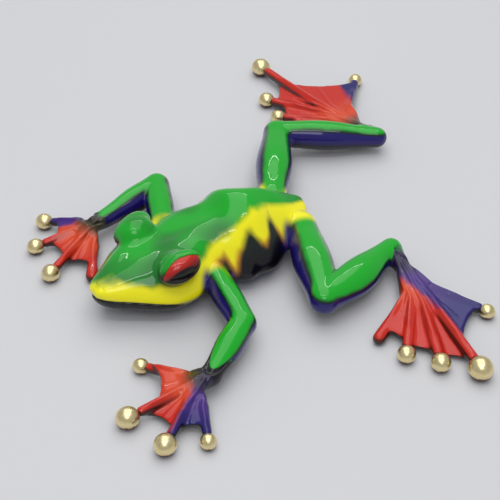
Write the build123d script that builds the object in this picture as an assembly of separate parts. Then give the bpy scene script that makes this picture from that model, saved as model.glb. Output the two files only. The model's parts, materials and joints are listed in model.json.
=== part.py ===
from build123d import *
from math import atan2, cos, degrees, hypot, radians, sin, sqrt
import os

# A tree frog in cast bronze, hand enamelled and lacquered, lying low on four spread limbs.
# Units are millimetres. The work is done about the middle of the shoulders, at shelf
# height, with the nose towards -Y and the frog's own left towards +X. The finished
# pieces are then moved together, so that the origin is under the middle of the frog.

# Head and torso
HEAD_LENGTH = 44.7
HEAD_WIDTH = 43.2
HEAD_DEPTH = 18.0
CHIN_HEIGHT = 5.0
HEAD_YAW = 5.0
HEAD_OFFSET = 2.0
TORSO_LENGTH = 53.6
TORSO_WIDTH = 46.4
TORSO_DEPTH = 26.8
BELLY_HEIGHT = 2.5
SHELL_WALL = 2.4

# Mouth, nostrils, brows and eyes
LIP_REAR_HEIGHT = 9.2
LIP_FRONT_HEIGHT = 12.4
MOUTH_WIDTH = 0.7
MOUTH_DEPTH = 1.3
NOSTRIL_DIAMETER = 0.9
NOSTRIL_DEPTH = 1.5
EYE_SPACING = 26.4
EYE_SETBACK = 15.6
BROW_LENGTH = 15.8
BROW_WIDTH = 14.0
BROW_DEPTH = 14.4
BROW_HEIGHT = 27.8
EYE_LENGTH = 16.4
EYE_WIDTH = 10.6
EYE_THICKNESS = 9.6
EYE_SINK = 2.0
EYE_TILT = 38.0
EYE_TOE_IN = 14.0

# Belly plate, which closes the opening of the casting core
PLATE_LENGTH = 30.0
PLATE_WIDTH = 20.0
PLATE_THICKNESS = 1.4
PLATE_LEDGE = 1.5

# Arms
SHOULDER_HEIGHT = 10.2
ELBOW_HEIGHT = 9.6
WRIST_HEIGHT = 7.6
UPPER_ARM_LENGTH = 29.4
FOREARM_LENGTH = 27.4
SHOULDER_DIAMETER = 11.0
UPPER_ARM_DIAMETER = 11.4
ELBOW_DIAMETER = 11.0
FOREARM_DIAMETER = 10.6
WRIST_DIAMETER = 8.2

# Legs
HIP_HEIGHT = 10.4
KNEE_HEIGHT = 10.6
ANKLE_HEIGHT = 7.4
THIGH_LENGTH = 44.4
SHANK_LENGTH = 43.4
HIP_DIAMETER = 12.4
THIGH_DIAMETER = 15.4
KNEE_DIAMETER = 11.8
SHANK_DIAMETER = 12.8
ANKLE_DIAMETER = 9.2

# Hands and feet
PALM_LENGTH = 7.0
INSTEP_LENGTH = 11.0
HAND_LENGTH = 35.0
FOOT_LENGTH = 70.0
FINGER_PAD_DIAMETER = 8.4
TOE_PAD_DIAMETER = 9.2
DIGIT_ROOT_DIAMETER = 5.2
FINGER_DIAMETER = 3.9
TOE_DIAMETER = 4.4
WEB_THICKNESS = 1.7
PAINTED_TIP_DIAMETER = 5.2

# Joints between the castings
LIMB_SPIGOT_DIAMETER = 6.0
LIMB_SPIGOT_LENGTH = 9.0
HAND_SPIGOT_DIAMETER = 3.6
HAND_SPIGOT_LENGTH = 4.0
PAD_PEG_DIAMETER = 1.4
PAD_PEG_LENGTH = 1.6
FIT_CLEARANCE = 0.1
OVERRUN = 2.0

# Stations of the torso from the shoulders back. Each row gives the place along the
# torso, the crown height, the ridge out and up, the flank out and up, the keel out and
# the belly height, as shares of the length, the half width and the depth.
TORSO_STATION_SHARES = (
    (0.15, 0.78, 0.52, 0.69, 0.90, 0.17, 0.60, 0.02),
    (0.31, 0.92, 0.45, 0.81, 1.00, 0.14, 0.72, 0.00),
    (0.44, 1.00, 0.335, 0.90, 0.99, 0.14, 0.72, 0.00),
    (0.58, 0.93, 0.27, 0.81, 0.86, 0.15, 0.60, 0.01),
    (0.72, 0.79, 0.23, 0.68, 0.67, 0.18, 0.46, 0.04),
    (0.85, 0.63, 0.20, 0.55, 0.49, 0.22, 0.32, 0.09),
    (0.95, 0.52, 0.15, 0.46, 0.30, 0.26, 0.18, 0.15),
    (1.00, 0.43, 0.075, 0.41, 0.13, 0.31, 0.08, 0.24),
)

# Stations of the head from the snout back, as shares of the head's own sizes.
HEAD_STATION_SHARES = (
    (1.00, 0.60, 0.05, 0.58, 0.09, 0.46, 0.05, 0.37),
    (0.965, 0.68, 0.11, 0.64, 0.20, 0.44, 0.13, 0.29),
    (0.90, 0.73, 0.17, 0.69, 0.33, 0.41, 0.23, 0.20),
    (0.80, 0.79, 0.26, 0.74, 0.48, 0.38, 0.35, 0.13),
    (0.68, 0.86, 0.37, 0.80, 0.67, 0.34, 0.50, 0.07),
    (0.55, 0.93, 0.47, 0.86, 0.87, 0.30, 0.64, 0.04),
    (0.42, 0.98, 0.53, 0.89, 0.985, 0.28, 0.73, 0.02),
    (0.28, 0.99, 0.55, 0.89, 1.00, 0.26, 0.72, 0.00),
    (0.14, 0.97, 0.56, 0.87, 0.93, 0.25, 0.62, 0.00),
)

# The neck carries half of the head's turn. Its row is in shares of the torso's sizes.
NECK_SHARES = (0.0, 0.75, 0.54, 0.66, 0.83, 0.22, 0.56, 0.06)
FLANK_BULGE_SHARE = 0.04
CAVITY_TORSO_TO = 5
CAVITY_HEAD_FROM = 4

# Places on the body, as shares of the body's sizes
NOSTRIL_ALONG_SHARE = 0.94
NOSTRIL_OUT_SHARE = 0.11
NOSTRIL_UP_SHARE = 0.66
PLATE_ALONG_SHARE = 0.33
SHOULDER_OUT_SHARE = 0.73
SHOULDER_ALONG_SHARES = {"left": 0.03, "right": -0.02}
HIP_OUT_SHARE = 0.47
HIP_ALONG_SHARE = 0.86

# Headings of the limbs, seen from above, in degrees from the frog's left towards its tail
ARM_HEADINGS = {"left": (-10.5, -56.0), "right": (155.5, -79.0)}
LEG_HEADINGS = {"left": (-23.4, 107.6), "right": (144.3, 59.8)}
SIDE_SIGNS = {"left": 1, "right": -1}

# Digits from the inside out: heading of the tip from the wrist or ankle, its reach as a
# share of the hand's or foot's length, heading of the knuckle, and the diameter of the
# polished pad as a share of the largest, or None where the tip is painted like the rest.
HAND_DIGIT_SHARES = {
    "left": (
        (217.0, 0.794, 222.0, 0.72),
        (268.0, 0.966, 268.0, 1.00),
        (300.0, 0.957, 296.0, 0.98),
        (326.0, 0.783, 316.0, 0.72),
    ),
    "right": (
        (321.0, 0.857, 314.0, None),
        (293.5, 1.000, 291.0, 0.86),
        (262.0, 0.854, 263.0, 0.79),
        (230.0, 0.729, 236.0, 0.81),
    ),
}
FOOT_DIGIT_SHARES = {
    "left": (
        (-41.7, 0.666, -24.0, None),
        (-30.5, 0.793, -22.0, 0.76),
        (-19.2, 0.880, -15.0, 0.80),
        (-8.7, 0.996, -8.0, 1.00),
        (15.0, 0.667, 2.0, 0.65),
    ),
    "right": (
        (222.0, 0.543, 210.0, None),
        (210.5, 0.677, 202.0, 0.70),
        (201.3, 0.836, 196.0, 0.74),
        (187.0, 1.113, 189.0, 0.91),
        (154.6, 0.734, 170.0, 0.65),
    ),
}

# Where a digit bends, as a share of its reach, how far along each digit the web runs,
# and how deep its edge is scalloped between two digits
HAND_KNUCKLE_SHARE = 0.50
HAND_WEB_SHARE = 0.84
HAND_SCALLOP_SHARE = 0.23
FOOT_KNUCKLE_SHARE = 0.56
FOOT_WEB_SHARE = 0.93
FOOT_SCALLOP_SHARE = 0.15
PAD_STRETCH_SHARE = 1.12
PAD_SINK_SHARE = 0.94
PALM_SHARE = 1.22
DIGIT_START_SHARE = 0.2
NEST_SHARE = 0.95


def heading_vector(angle):
    """A level unit vector at an angle in degrees, seen from above."""
    return Vector(cos(radians(angle)), sin(radians(angle)), 0)


def head_point(out, ahead, height):
    """A place on the head, out to the frog's left and ahead of the shoulders."""
    left = heading_vector(HEAD_YAW)
    nose = heading_vector(HEAD_YAW - 90)
    return left * (out + HEAD_OFFSET) + nose * ahead + Vector(0, 0, height)


def section_face(centre, turn, half_width, base, depth, shares, inset):
    """One closed cross-section of the body, drawn inset from its skin."""
    crown, ridge_out, ridge_up, flank_out, flank_up, keel_out, bottom = shares
    middle = (crown + bottom) / 2 * depth
    mid_out = (ridge_out + flank_out) / 2 + FLANK_BULGE_SHARE
    mid_up = (ridge_up + flank_up) / 2 + FLANK_BULGE_SHARE
    keel_up = bottom + (flank_up - bottom) / 6
    half = [
        (ridge_out, ridge_up),
        (mid_out, mid_up),
        (flank_out, flank_up),
        (keel_out, keel_up),
    ]
    outline = [(0, crown)] + half + [(0, bottom)] + [(-x, z) for x, z in reversed(half)]
    left = heading_vector(turn)
    points = []
    for share_out, share_up in outline:
        out = share_out * half_width
        up = share_up * depth - middle
        keep = 1 - inset / hypot(out, up)
        points.append(centre + left * (out * keep) + Vector(0, 0, base + middle + up * keep))
    return make_face(Spline(*points, periodic=True))


def head_section(row, inset=0):
    """A cross-section of the head, square to the line of the snout."""
    centre = head_point(0, row[0] * HEAD_LENGTH, 0)
    return section_face(
        centre, HEAD_YAW, HEAD_WIDTH / 2, CHIN_HEIGHT, HEAD_DEPTH, row[1:], inset
    )


def torso_section(row, turn=0, inset=0):
    """A cross-section of the torso, square to the spine."""
    centre = Vector(0, row[0] * TORSO_LENGTH, 0)
    return section_face(
        centre, turn, TORSO_WIDTH / 2, BELLY_HEIGHT, TORSO_DEPTH, row[1:], inset
    )


def body_loft(inset=0, head_from=0, torso_to=len(TORSO_STATION_SHARES)):
    """The head and torso as one smooth solid, inset from the skin."""
    sections = [head_section(row, inset) for row in HEAD_STATION_SHARES[head_from:]]
    sections.append(torso_section(NECK_SHARES, HEAD_YAW / 2, inset))
    sections += [torso_section(row, 0, inset) for row in TORSO_STATION_SHARES[:torso_to]]
    return loft(sections)


def spheroid(length, diameter):
    """A spheroid about the origin, with its long axis along X."""
    outline = [EllipticalCenterArc((0, 0), length / 2, diameter / 2, arc_size=180)]
    outline.append(Line((-length / 2, 0), (length / 2, 0)))
    return revolve(make_face(outline), Axis.X)


def bump(width, length, depth):
    """A bump with three diameters about the origin, whose depth is along Z."""
    return scale(Sphere(1), by=(width / 2, length / 2, depth / 2))


def brow_place(side):
    """The middle of the brow over one eye."""
    out = SIDE_SIGNS[side] * EYE_SPACING / 2
    return head_point(out, EYE_SETBACK, BROW_HEIGHT - BROW_DEPTH / 2)


def brow(side):
    """The raised brow over one eye."""
    return Pos(brow_place(side)) * Rot(0, 0, HEAD_YAW) * bump(BROW_WIDTH, BROW_LENGTH, BROW_DEPTH)


def eyeball(side, growth=0):
    """The eye, set in the brow to look out and up, grown all over."""
    sign = SIDE_SIGNS[side]
    turn = HEAD_YAW - sign * EYE_TOE_IN
    level = heading_vector(turn) * (sign * cos(radians(EYE_TILT)))
    look = level + Vector(0, 0, sin(radians(EYE_TILT)))
    place = brow_place(side) + look * (BROW_WIDTH / 2 - EYE_SINK)
    diameters = (EYE_LENGTH + 2 * growth, EYE_WIDTH + 2 * growth, EYE_THICKNESS + 2 * growth)
    return Plane(place, x_dir=heading_vector(turn + 90), z_dir=look) * bump(*diameters)


def body_skin():
    """The whole outside of the head and torso, with the brows."""
    skin = body_loft()
    for side in SIDE_SIGNS:
        skin += brow(side)
    return skin


def mouth_groove():
    """The thin groove between the lips, cut in from the skin all round the snout."""
    tilt = degrees(atan2(LIP_FRONT_HEIGHT - LIP_REAR_HEIGHT, HEAD_LENGTH - EYE_SETBACK))
    middle = (HEAD_LENGTH + EYE_SETBACK) / 2
    height = (LIP_FRONT_HEIGHT + LIP_REAR_HEIGHT) / 2
    slab = Box(HEAD_WIDTH + 2 * OVERRUN, HEAD_LENGTH - EYE_SETBACK + 2 * OVERRUN, MOUTH_WIDTH)
    slab = Pos(head_point(0, middle + OVERRUN, height)) * Rot(0, 0, HEAD_YAW) * Rot(-tilt, 0, 0) * slab
    return slab - body_loft(inset=MOUTH_DEPTH)


def nostril(side):
    """A small blind hole in the top of the snout."""
    out = SIDE_SIGNS[side] * NOSTRIL_OUT_SHARE * HEAD_WIDTH / 2
    top = CHIN_HEIGHT + NOSTRIL_UP_SHARE * HEAD_DEPTH
    place = head_point(out, NOSTRIL_ALONG_SHARE * HEAD_LENGTH, top)
    return Pos(place) * Cylinder(NOSTRIL_DIAMETER / 2, 2 * NOSTRIL_DEPTH)


def plate_outline(growth, low, high):
    """An upright block with round ends, over the opening in the belly."""
    width = PLATE_WIDTH + 2 * growth
    length = PLATE_LENGTH + 2 * growth
    shape = extrude(SlotOverall(length, width, rotation=90), high - low)
    return Pos(0, PLATE_ALONG_SHARE * TORSO_LENGTH, low) * shape


def belly_plate(skin):
    """The plate that closes the core opening, flush with the belly."""
    block = plate_outline(0, 0, BELLY_HEIGHT + PLATE_THICKNESS)
    return skin & block


def bar(start, stop, start_d, middle_d, stop_d, round_start=False):
    """A turned bar between two places, swelling or tapering, with a round far end."""
    along = stop - start
    length = along.length
    inner, outer = start_d / 2, stop_d / 2
    side = Spline(
        (inner, 0, 0),
        (middle_d / 2, 0, length / 2),
        (outer, 0, length),
        tangents=((0, 0, 1), (0, 0, 1)),
    )
    slope = sqrt(1 / 2)
    edges = [side]
    far = (outer * slope, 0, length + outer * slope)
    edges.append(ThreePointArc((outer, 0, length), far, (0, 0, length + outer)))
    foot = (0, 0, 0)
    if round_start:
        foot = (0, 0, -inner)
        edges.append(ThreePointArc(foot, (inner * slope, 0, -inner * slope), (inner, 0, 0)))
    else:
        edges.append(Line(foot, (inner, 0, 0)))
    edges.append(Line((0, 0, length + outer), foot))
    return Plane(start, z_dir=along.normalized()) * revolve(make_face(edges), Axis.Z)


class Limb:
    """An arm or a leg: a tapering tube from its root in the body, over one bend."""

    def __init__(self, root, lengths, headings, heights, diameters):
        self.root = root
        self.bend = root + heading_vector(headings[0]) * lengths[0]
        self.bend += Vector(0, 0, heights[0] - root.Z)
        self.end = self.bend + heading_vector(headings[1]) * lengths[1]
        self.end += Vector(0, 0, heights[1] - self.bend.Z)
        self.diameters = diameters
        self.axis = (self.bend - self.root).normalized()

    def tube(self):
        """The limb as two swelling bars with round ends, one inside the other's end."""
        root_d, first_d, bend_d, second_d, end_d = self.diameters
        upper = bar(self.root, self.bend, root_d, first_d, bend_d, round_start=True)
        inner = bend_d * NEST_SHARE
        return upper + bar(self.bend, self.end, inner, second_d, end_d, round_start=True)

    def spigot(self, growth=0):
        """The round spigot from inside the limb's root into the body."""
        plane = Plane(self.root + self.axis * self.diameters[0] / 2, z_dir=-self.axis)
        length = self.diameters[0] / 2 + LIMB_SPIGOT_LENGTH + growth
        pin = Cylinder(
            LIMB_SPIGOT_DIAMETER / 2 + growth, length, align=(Align.CENTER, Align.CENTER, Align.MIN)
        )
        return plane * pin


def arm(side):
    """The places and sizes of one arm."""
    sign = SIDE_SIGNS[side]
    along = SHOULDER_ALONG_SHARES[side] * TORSO_LENGTH
    root = Vector(sign * SHOULDER_OUT_SHARE * TORSO_WIDTH / 2, along, SHOULDER_HEIGHT)
    return Limb(
        root,
        (UPPER_ARM_LENGTH, FOREARM_LENGTH),
        ARM_HEADINGS[side],
        (ELBOW_HEIGHT, WRIST_HEIGHT),
        (
            SHOULDER_DIAMETER,
            UPPER_ARM_DIAMETER,
            ELBOW_DIAMETER,
            FOREARM_DIAMETER,
            WRIST_DIAMETER,
        ),
    )


def leg(side):
    """The places and sizes of one leg."""
    out = SIDE_SIGNS[side] * HIP_OUT_SHARE * TORSO_WIDTH / 2
    root = Vector(out, HIP_ALONG_SHARE * TORSO_LENGTH, HIP_HEIGHT)
    return Limb(
        root,
        (THIGH_LENGTH, SHANK_LENGTH),
        LEG_HEADINGS[side],
        (KNEE_HEIGHT, ANKLE_HEIGHT),
        (HIP_DIAMETER, THIGH_DIAMETER, KNEE_DIAMETER, SHANK_DIAMETER, ANKLE_DIAMETER),
    )


class Fan:
    """A hand or foot: a root at the limb's end, jointed digits, webs and pads."""

    def __init__(self, limb, digits, sizes, shares):
        self.wrist = limb.end
        self.wrist_diameter = limb.diameters[-1]
        self.digits = digits
        root_length, self.length, self.pad_diameter, self.digit_diameter = sizes
        self.knuckle_share, self.web_share, self.scallop_share = shares
        self.middle = sum(digit[2] for digit in digits) / len(digits)
        self.axis = heading_vector(self.middle)
        self.palm = self.wrist + self.axis * root_length
        self.palm -= Vector(0, 0, (self.wrist_diameter - DIGIT_ROOT_DIAMETER) / 4)

    def tip_diameter(self, index):
        """The diameter of a digit's pad, or of its painted tip."""
        share = self.digits[index][3]
        return share * self.pad_diameter if share else PAINTED_TIP_DIAMETER

    def tip(self, index):
        """The middle of a digit's pad, which stands on the shelf."""
        heading, reach_share = self.digits[index][:2]
        place = self.wrist + heading_vector(heading) * (reach_share * self.length)
        return Vector(place.X, place.Y, self.tip_diameter(index) / 2 * PAD_SINK_SHARE)

    def knuckle(self, index):
        """The bend of a digit, nearer to the middle of the hand or foot than its tip."""
        reach_share, turn = self.digits[index][1:3]
        reach = reach_share * self.length * self.knuckle_share
        place = self.wrist + heading_vector(turn) * reach
        height = (self.palm.Z + self.tip(index).Z) / 2
        return Vector(place.X, place.Y, height)

    def digit(self, index):
        """One digit, from the palm over its knuckle to the middle of its tip."""
        knuckle, tip = self.knuckle(index), self.tip(index)
        ahead = (knuckle - self.palm).normalized() * (DIGIT_START_SHARE * DIGIT_ROOT_DIAMETER)
        middle_d = (DIGIT_ROOT_DIAMETER + self.digit_diameter) / 2
        tip_d = self.digit_diameter if self.digits[index][3] else PAINTED_TIP_DIAMETER
        inner = bar(self.palm + ahead, knuckle, DIGIT_ROOT_DIAMETER, middle_d, middle_d)
        return [inner, bar(knuckle, tip, middle_d * NEST_SHARE, self.digit_diameter, tip_d)]

    def web_ends(self):
        """Where the web's edge meets each digit."""
        along = (self.web_share - self.knuckle_share) / (1 - self.knuckle_share)
        ends = []
        for index in range(len(self.digits)):
            knuckle, tip = self.knuckle(index), self.tip(index)
            ends.append(knuckle + (tip - knuckle) * along)
        return ends

    def web(self):
        """The webs between the digits: one sheet, sloping down from the palm."""
        ends = self.web_ends()
        reach = max((end - self.palm).dot(self.axis) for end in ends)
        slope = (self.palm.Z - WEB_THICKNESS) / reach

        def lay(place):
            ahead = (place - self.palm).dot(self.axis)
            return Vector(place.X, place.Y, self.palm.Z - slope * ahead)

        back = lay(self.palm - self.axis * DIGIT_ROOT_DIAMETER / 4)
        first, last = lay(self.knuckle(0)), lay(self.knuckle(len(self.digits) - 1))
        ends = [lay(end) for end in ends]
        edges = [Line(back, first), Line(first, ends[0])]
        for near, far in zip(ends, ends[1:]):
            across = far - near
            inwards = Vector(-across.Y, across.X, 0)
            if inwards.dot(self.palm - near) < 0:
                inwards = -inwards
            scallop = (near + far) / 2 + inwards * self.scallop_share
            edges.append(ThreePointArc(near, lay(scallop), far))
        edges += [Line(ends[-1], last), Line(last, back)]
        return extrude(make_face(edges), WEB_THICKNESS / 2, both=True)

    def pad(self, index):
        """The outside of one polished pad, drawn out a little along its digit."""
        diameter = self.tip_diameter(index)
        along = self.tip(index) - self.knuckle(index)
        turn = degrees(atan2(along.Y, along.X))
        shape = spheroid(diameter * PAD_STRETCH_SHARE, diameter)
        return Pos(self.tip(index)) * Rot(0, 0, turn) * shape - shelf()

    def peg(self, index, growth=0):
        """The peg that a pad is set on, from inside its digit."""
        along = (self.tip(index) - self.knuckle(index)).normalized()
        back = self.tip_diameter(index) / 2 + OVERRUN
        plane = Plane(self.tip(index) - along * back, z_dir=along)
        length = OVERRUN + PAD_PEG_LENGTH + growth
        pin = Cylinder(
            PAD_PEG_DIAMETER / 2 + growth, length, align=(Align.CENTER, Align.CENTER, Align.MIN)
        )
        return plane * pin

    def spigot(self, growth=0):
        """The round spigot from inside the hand or foot into its limb."""
        start = self.wrist + self.axis * (self.wrist_diameter / 2 + OVERRUN)
        length = self.wrist_diameter / 2 + OVERRUN + HAND_SPIGOT_LENGTH / 2 + growth
        pin = Cylinder(
            HAND_SPIGOT_DIAMETER / 2 + growth, length, align=(Align.CENTER, Align.CENTER, Align.MIN)
        )
        return Plane(start, z_dir=-self.axis) * pin

    def padded(self):
        """The digits that carry a polished pad."""
        return [index for index, digit in enumerate(self.digits) if digit[3]]

    def casting(self, limb_tube):
        """The whole hand or foot, coped over the end of its limb and round its pads."""
        palm_d = DIGIT_ROOT_DIAMETER * PALM_SHARE
        root_d = self.wrist_diameter * NEST_SHARE
        shape = bar(self.wrist, self.palm, root_d, (root_d + palm_d) / 2, palm_d)
        for index in range(len(self.digits)):
            for joint in self.digit(index):
                shape += joint
        shape += self.web()
        shape -= limb_tube
        shape -= shelf()
        for index in self.padded():
            shape -= self.pad(index)
            shape += self.peg(index)
        return shape + self.spigot()

    def pad_casting(self, index):
        """One polished pad with the blind hole for its peg."""
        return self.pad(index) - self.peg(index, FIT_CLEARANCE)


def shelf():
    """A block under the shelf line, which cuts the pads flat."""
    reach = 4 * (HEAD_LENGTH + TORSO_LENGTH)
    return Box(reach, reach, reach, align=(Align.CENTER, Align.CENTER, Align.MAX))


def hand(side, limb):
    """The places and sizes of one hand."""
    sizes = (PALM_LENGTH, HAND_LENGTH, FINGER_PAD_DIAMETER, FINGER_DIAMETER)
    shares = (HAND_KNUCKLE_SHARE, HAND_WEB_SHARE, HAND_SCALLOP_SHARE)
    return Fan(limb, HAND_DIGIT_SHARES[side], sizes, shares)


def foot(side, limb):
    """The places and sizes of one foot."""
    sizes = (INSTEP_LENGTH, FOOT_LENGTH, TOE_PAD_DIAMETER, TOE_DIAMETER)
    shares = (FOOT_KNUCKLE_SHARE, FOOT_WEB_SHARE, FOOT_SCALLOP_SHARE)
    return Fan(limb, FOOT_DIGIT_SHARES[side], sizes, shares)


def body_shell(skin, limbs):
    """The hollow head and torso, with its sockets, holes and grooves."""
    shell = skin - body_loft(SHELL_WALL, CAVITY_HEAD_FROM, CAVITY_TORSO_TO)
    seat = BELLY_HEIGHT + PLATE_THICKNESS
    cuts = [plate_outline(FIT_CLEARANCE, 0, seat)]
    cuts.append(plate_outline(-PLATE_LEDGE, 0, BELLY_HEIGHT + SHELL_WALL + OVERRUN))
    cuts.append(mouth_groove())
    for side in SIDE_SIGNS:
        cuts.append(nostril(side))
        cuts.append(eyeball(side, FIT_CLEARANCE))
    cuts += [limb.spigot(FIT_CLEARANCE) for limb in limbs]
    for cut in cuts:
        shell -= cut
    return shell


def build():
    """All the pieces, by name, about the middle of the shoulders."""
    skin = body_skin()
    pieces = {}
    limbs = []
    for side in SIDE_SIGNS:
        pieces[f"eye_{side}"] = eyeball(side)
        for limb_name, limb, fan_name, make_fan in (
            ("arm", arm(side), "hand", hand),
            ("leg", leg(side), "foot", foot),
        ):
            fan = make_fan(side, limb)
            tube = limb.tube()
            pieces[f"{limb_name}_{side}"] = tube - skin + limb.spigot() - fan.spigot(FIT_CLEARANCE)
            pieces[f"{fan_name}_{side}"] = fan.casting(tube)
            for index in fan.padded():
                pieces[f"pad_{fan_name}_{side}_{index + 1}"] = fan.pad_casting(index)
            limbs.append(limb)
    pieces["body_shell"] = body_shell(skin, limbs)
    pieces["belly_plate"] = belly_plate(skin)
    return pieces


if __name__ == "__main__":
    os.makedirs("parts", exist_ok=True)
    pieces = build()
    boxes = [piece.bounding_box() for piece in pieces.values()]
    low = Vector(*(min(tuple(box.min)[i] for box in boxes) for i in range(3)))
    high = Vector(*(max(tuple(box.max)[i] for box in boxes) for i in range(3)))
    middle = (low + high) / 2
    under_middle = Pos(-middle.X, -middle.Y, 0)
    print("overall size", high - low, "moved by", under_middle.position)
    for name, piece in pieces.items():
        print(name, type(piece).__name__, round(piece.volume), len(piece.solids()), piece.is_valid)
        export_step(under_middle * piece, f"parts/{name}.step")
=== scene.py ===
"""A tree frog figurine, cast in bronze, airbrushed in enamel and lacquered.

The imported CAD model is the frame. The castings are copied from it and drawn together into
one skin with soft joins, which gets lids, tendons and a mouth and is parted again into the
same castings. The eyes and the polished pads are pieces of their own.
"""

from __future__ import annotations

import json
import logging
import math
from dataclasses import dataclass, field
from enum import Enum
from typing import Callable, Sequence

import bpy
import numpy as np
from mathutils import Matrix, Vector
from mathutils.bvhtree import BVHTree

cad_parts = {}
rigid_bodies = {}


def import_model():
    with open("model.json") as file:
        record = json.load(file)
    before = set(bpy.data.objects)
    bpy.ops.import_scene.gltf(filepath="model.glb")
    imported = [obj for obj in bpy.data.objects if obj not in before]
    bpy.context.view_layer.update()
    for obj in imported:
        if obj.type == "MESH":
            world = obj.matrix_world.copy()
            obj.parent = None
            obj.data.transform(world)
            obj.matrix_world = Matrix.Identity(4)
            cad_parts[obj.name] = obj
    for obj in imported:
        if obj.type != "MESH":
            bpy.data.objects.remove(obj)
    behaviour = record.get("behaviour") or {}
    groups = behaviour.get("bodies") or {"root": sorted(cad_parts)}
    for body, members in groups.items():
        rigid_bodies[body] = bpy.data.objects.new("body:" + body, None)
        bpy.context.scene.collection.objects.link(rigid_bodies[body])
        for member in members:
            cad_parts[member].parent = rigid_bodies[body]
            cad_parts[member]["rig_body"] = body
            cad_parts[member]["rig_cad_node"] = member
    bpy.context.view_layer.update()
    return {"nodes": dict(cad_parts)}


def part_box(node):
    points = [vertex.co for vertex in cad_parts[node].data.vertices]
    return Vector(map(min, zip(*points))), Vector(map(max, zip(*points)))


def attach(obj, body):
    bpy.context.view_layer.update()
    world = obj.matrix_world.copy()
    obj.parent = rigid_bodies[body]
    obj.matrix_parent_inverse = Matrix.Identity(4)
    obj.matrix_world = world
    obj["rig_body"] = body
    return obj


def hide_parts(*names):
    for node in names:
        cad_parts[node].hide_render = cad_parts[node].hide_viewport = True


LOG = logging.getLogger("frog")
MM = 0.001
MERGE_DISTANCE = 1e-6

# The usual curve from a screen's shares of colour to linear ones.
SCREEN_BEND = 0.04045
SCREEN_SLOPE = 12.92
SCREEN_OFFSET = 0.055
SCREEN_POWER = 2.4

Colour = tuple[float, float, float, float]
Pair = tuple[float, float]
Socket = bpy.types.NodeSocket


class Slot(Enum):
    """The record's finishes."""

    SKIN = "skin_enamel"
    UNDERSIDE = "underside_enamel"
    LIMB = "limb_enamel"
    WEB = "web_enamel"
    EYE = "eye_enamel"
    BRONZE = "polished_bronze"


class Side(Enum):
    """The frog's own left or right."""

    LEFT = "left"
    RIGHT = "right"


class Lid(Enum):
    """One of an eye's two lids."""

    UPPER = "upper"
    LOWER = "lower"


def heading(degrees: float) -> Vector:
    """A level unit vector at an angle from the frog's left towards its tail."""
    angle = math.radians(degrees)
    return Vector((math.cos(angle), math.sin(angle), 0))


def colour(red: int, green: int, blue: int) -> Colour:
    """A colour given as it shows on a screen, as the renderer needs it.

    Args:
        red: Share of red, 0 to 255.
        green: Share of green, 0 to 255.
        blue: Share of blue, 0 to 255.

    Returns:
        The linear colour with full alpha.
    """
    linear = []
    for value in (red, green, blue):
        share = value / 255
        if share <= SCREEN_BEND:
            linear.append(share / SCREEN_SLOPE)
        else:
            linear.append(((share + SCREEN_OFFSET) / (1 + SCREEN_OFFSET)) ** SCREEN_POWER)
    return (linear[0], linear[1], linear[2], 1.0)


def ramp(values: np.ndarray, start: float, stop: float) -> np.ndarray:
    """A soft step from 0 at the start to 1 at the stop."""
    share = np.clip((values - start) / (stop - start), 0, 1)
    return share * share * (3 - 2 * share)


def distance(places: np.ndarray, spot: Sequence[float]) -> np.ndarray:
    """How far each place is from a spot, in the places' own unit."""
    return np.linalg.norm(places - np.array(spot), axis=1)


def beside_line(
    places: np.ndarray, first: Sequence[float], last: Sequence[float]
) -> tuple[np.ndarray, np.ndarray]:
    """How places lie beside a straight line.

    Args:
        places: The places, one row each.
        first: Where the line starts.
        last: Where the line ends.

    Returns:
        How far along the line each place lies, from 0 to 1, and its way off the line.
    """
    line = np.array(last) - np.array(first)
    off = places - np.array(first)
    share = np.clip(off @ line / (line @ line), 0, 1)
    return share, off - share[:, None] * line


def work_on(*pieces: bpy.types.Object) -> None:
    """Leave only these pieces selected, with the first one active.

    Args:
        pieces: The pieces to select.
    """
    bpy.ops.object.select_all(action="DESELECT")
    for piece in pieces:
        piece.select_set(True)
    bpy.context.view_layer.objects.active = pieces[0]


def joined(pieces: Sequence[bpy.types.Object], name: str) -> bpy.types.Object:
    """Join pieces into the first of them and name it.

    Args:
        pieces: The pieces to join.
        name: A name for the object and its mesh.

    Returns:
        The joined piece.
    """
    work_on(*pieces)
    bpy.ops.object.join()
    pieces[0].name = name
    pieces[0].data.name = name
    return pieces[0]


def apply_modifier(piece: bpy.types.Object, kind: str, **settings: object) -> None:
    """Add a modifier with its settings and apply it at once.

    Args:
        piece: The piece to change.
        kind: The modifier's type.
        settings: The modifier's properties by name.
    """
    modifier = piece.modifiers.new(kind.title(), kind)
    for name, value in settings.items():
        setattr(modifier, name, value)
    work_on(piece)
    bpy.ops.object.modifier_apply(modifier=modifier.name)


def round_start(name: str, rings: int, diameter: float) -> bpy.types.Object:
    """Add a sphere at the origin, to be shaped further.

    Args:
        name: A name for it.
        rings: How many rings it has. It has twice as many segments.
        diameter: Its diameter.

    Returns:
        The mesh object.
    """
    bpy.ops.object.select_all(action="DESELECT")
    bpy.ops.mesh.primitive_uv_sphere_add(
        segments=2 * rings, ring_count=rings, radius=diameter / 2
    )
    piece = bpy.context.object
    piece.name = name
    return piece


def vertex_rows(piece: bpy.types.Object, key: str) -> np.ndarray:
    """Three numbers for each vertex of a piece.

    Args:
        piece: A mesh object.
        key: Which numbers: "co" for its place or "normal" for the way that it faces.

    Returns:
        One row for each vertex.
    """
    rows = np.zeros(len(piece.data.vertices) * 3)
    piece.data.vertices.foreach_get(key, rows)
    return rows.reshape(-1, 3)


def vertex_places(piece: bpy.types.Object) -> np.ndarray:
    """The places of a piece's vertices, one row each, in metres."""
    return vertex_rows(piece, "co")


def vertex_normals(piece: bpy.types.Object) -> np.ndarray:
    """The normals of a piece's vertices, one row each."""
    return vertex_rows(piece, "normal")


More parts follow.
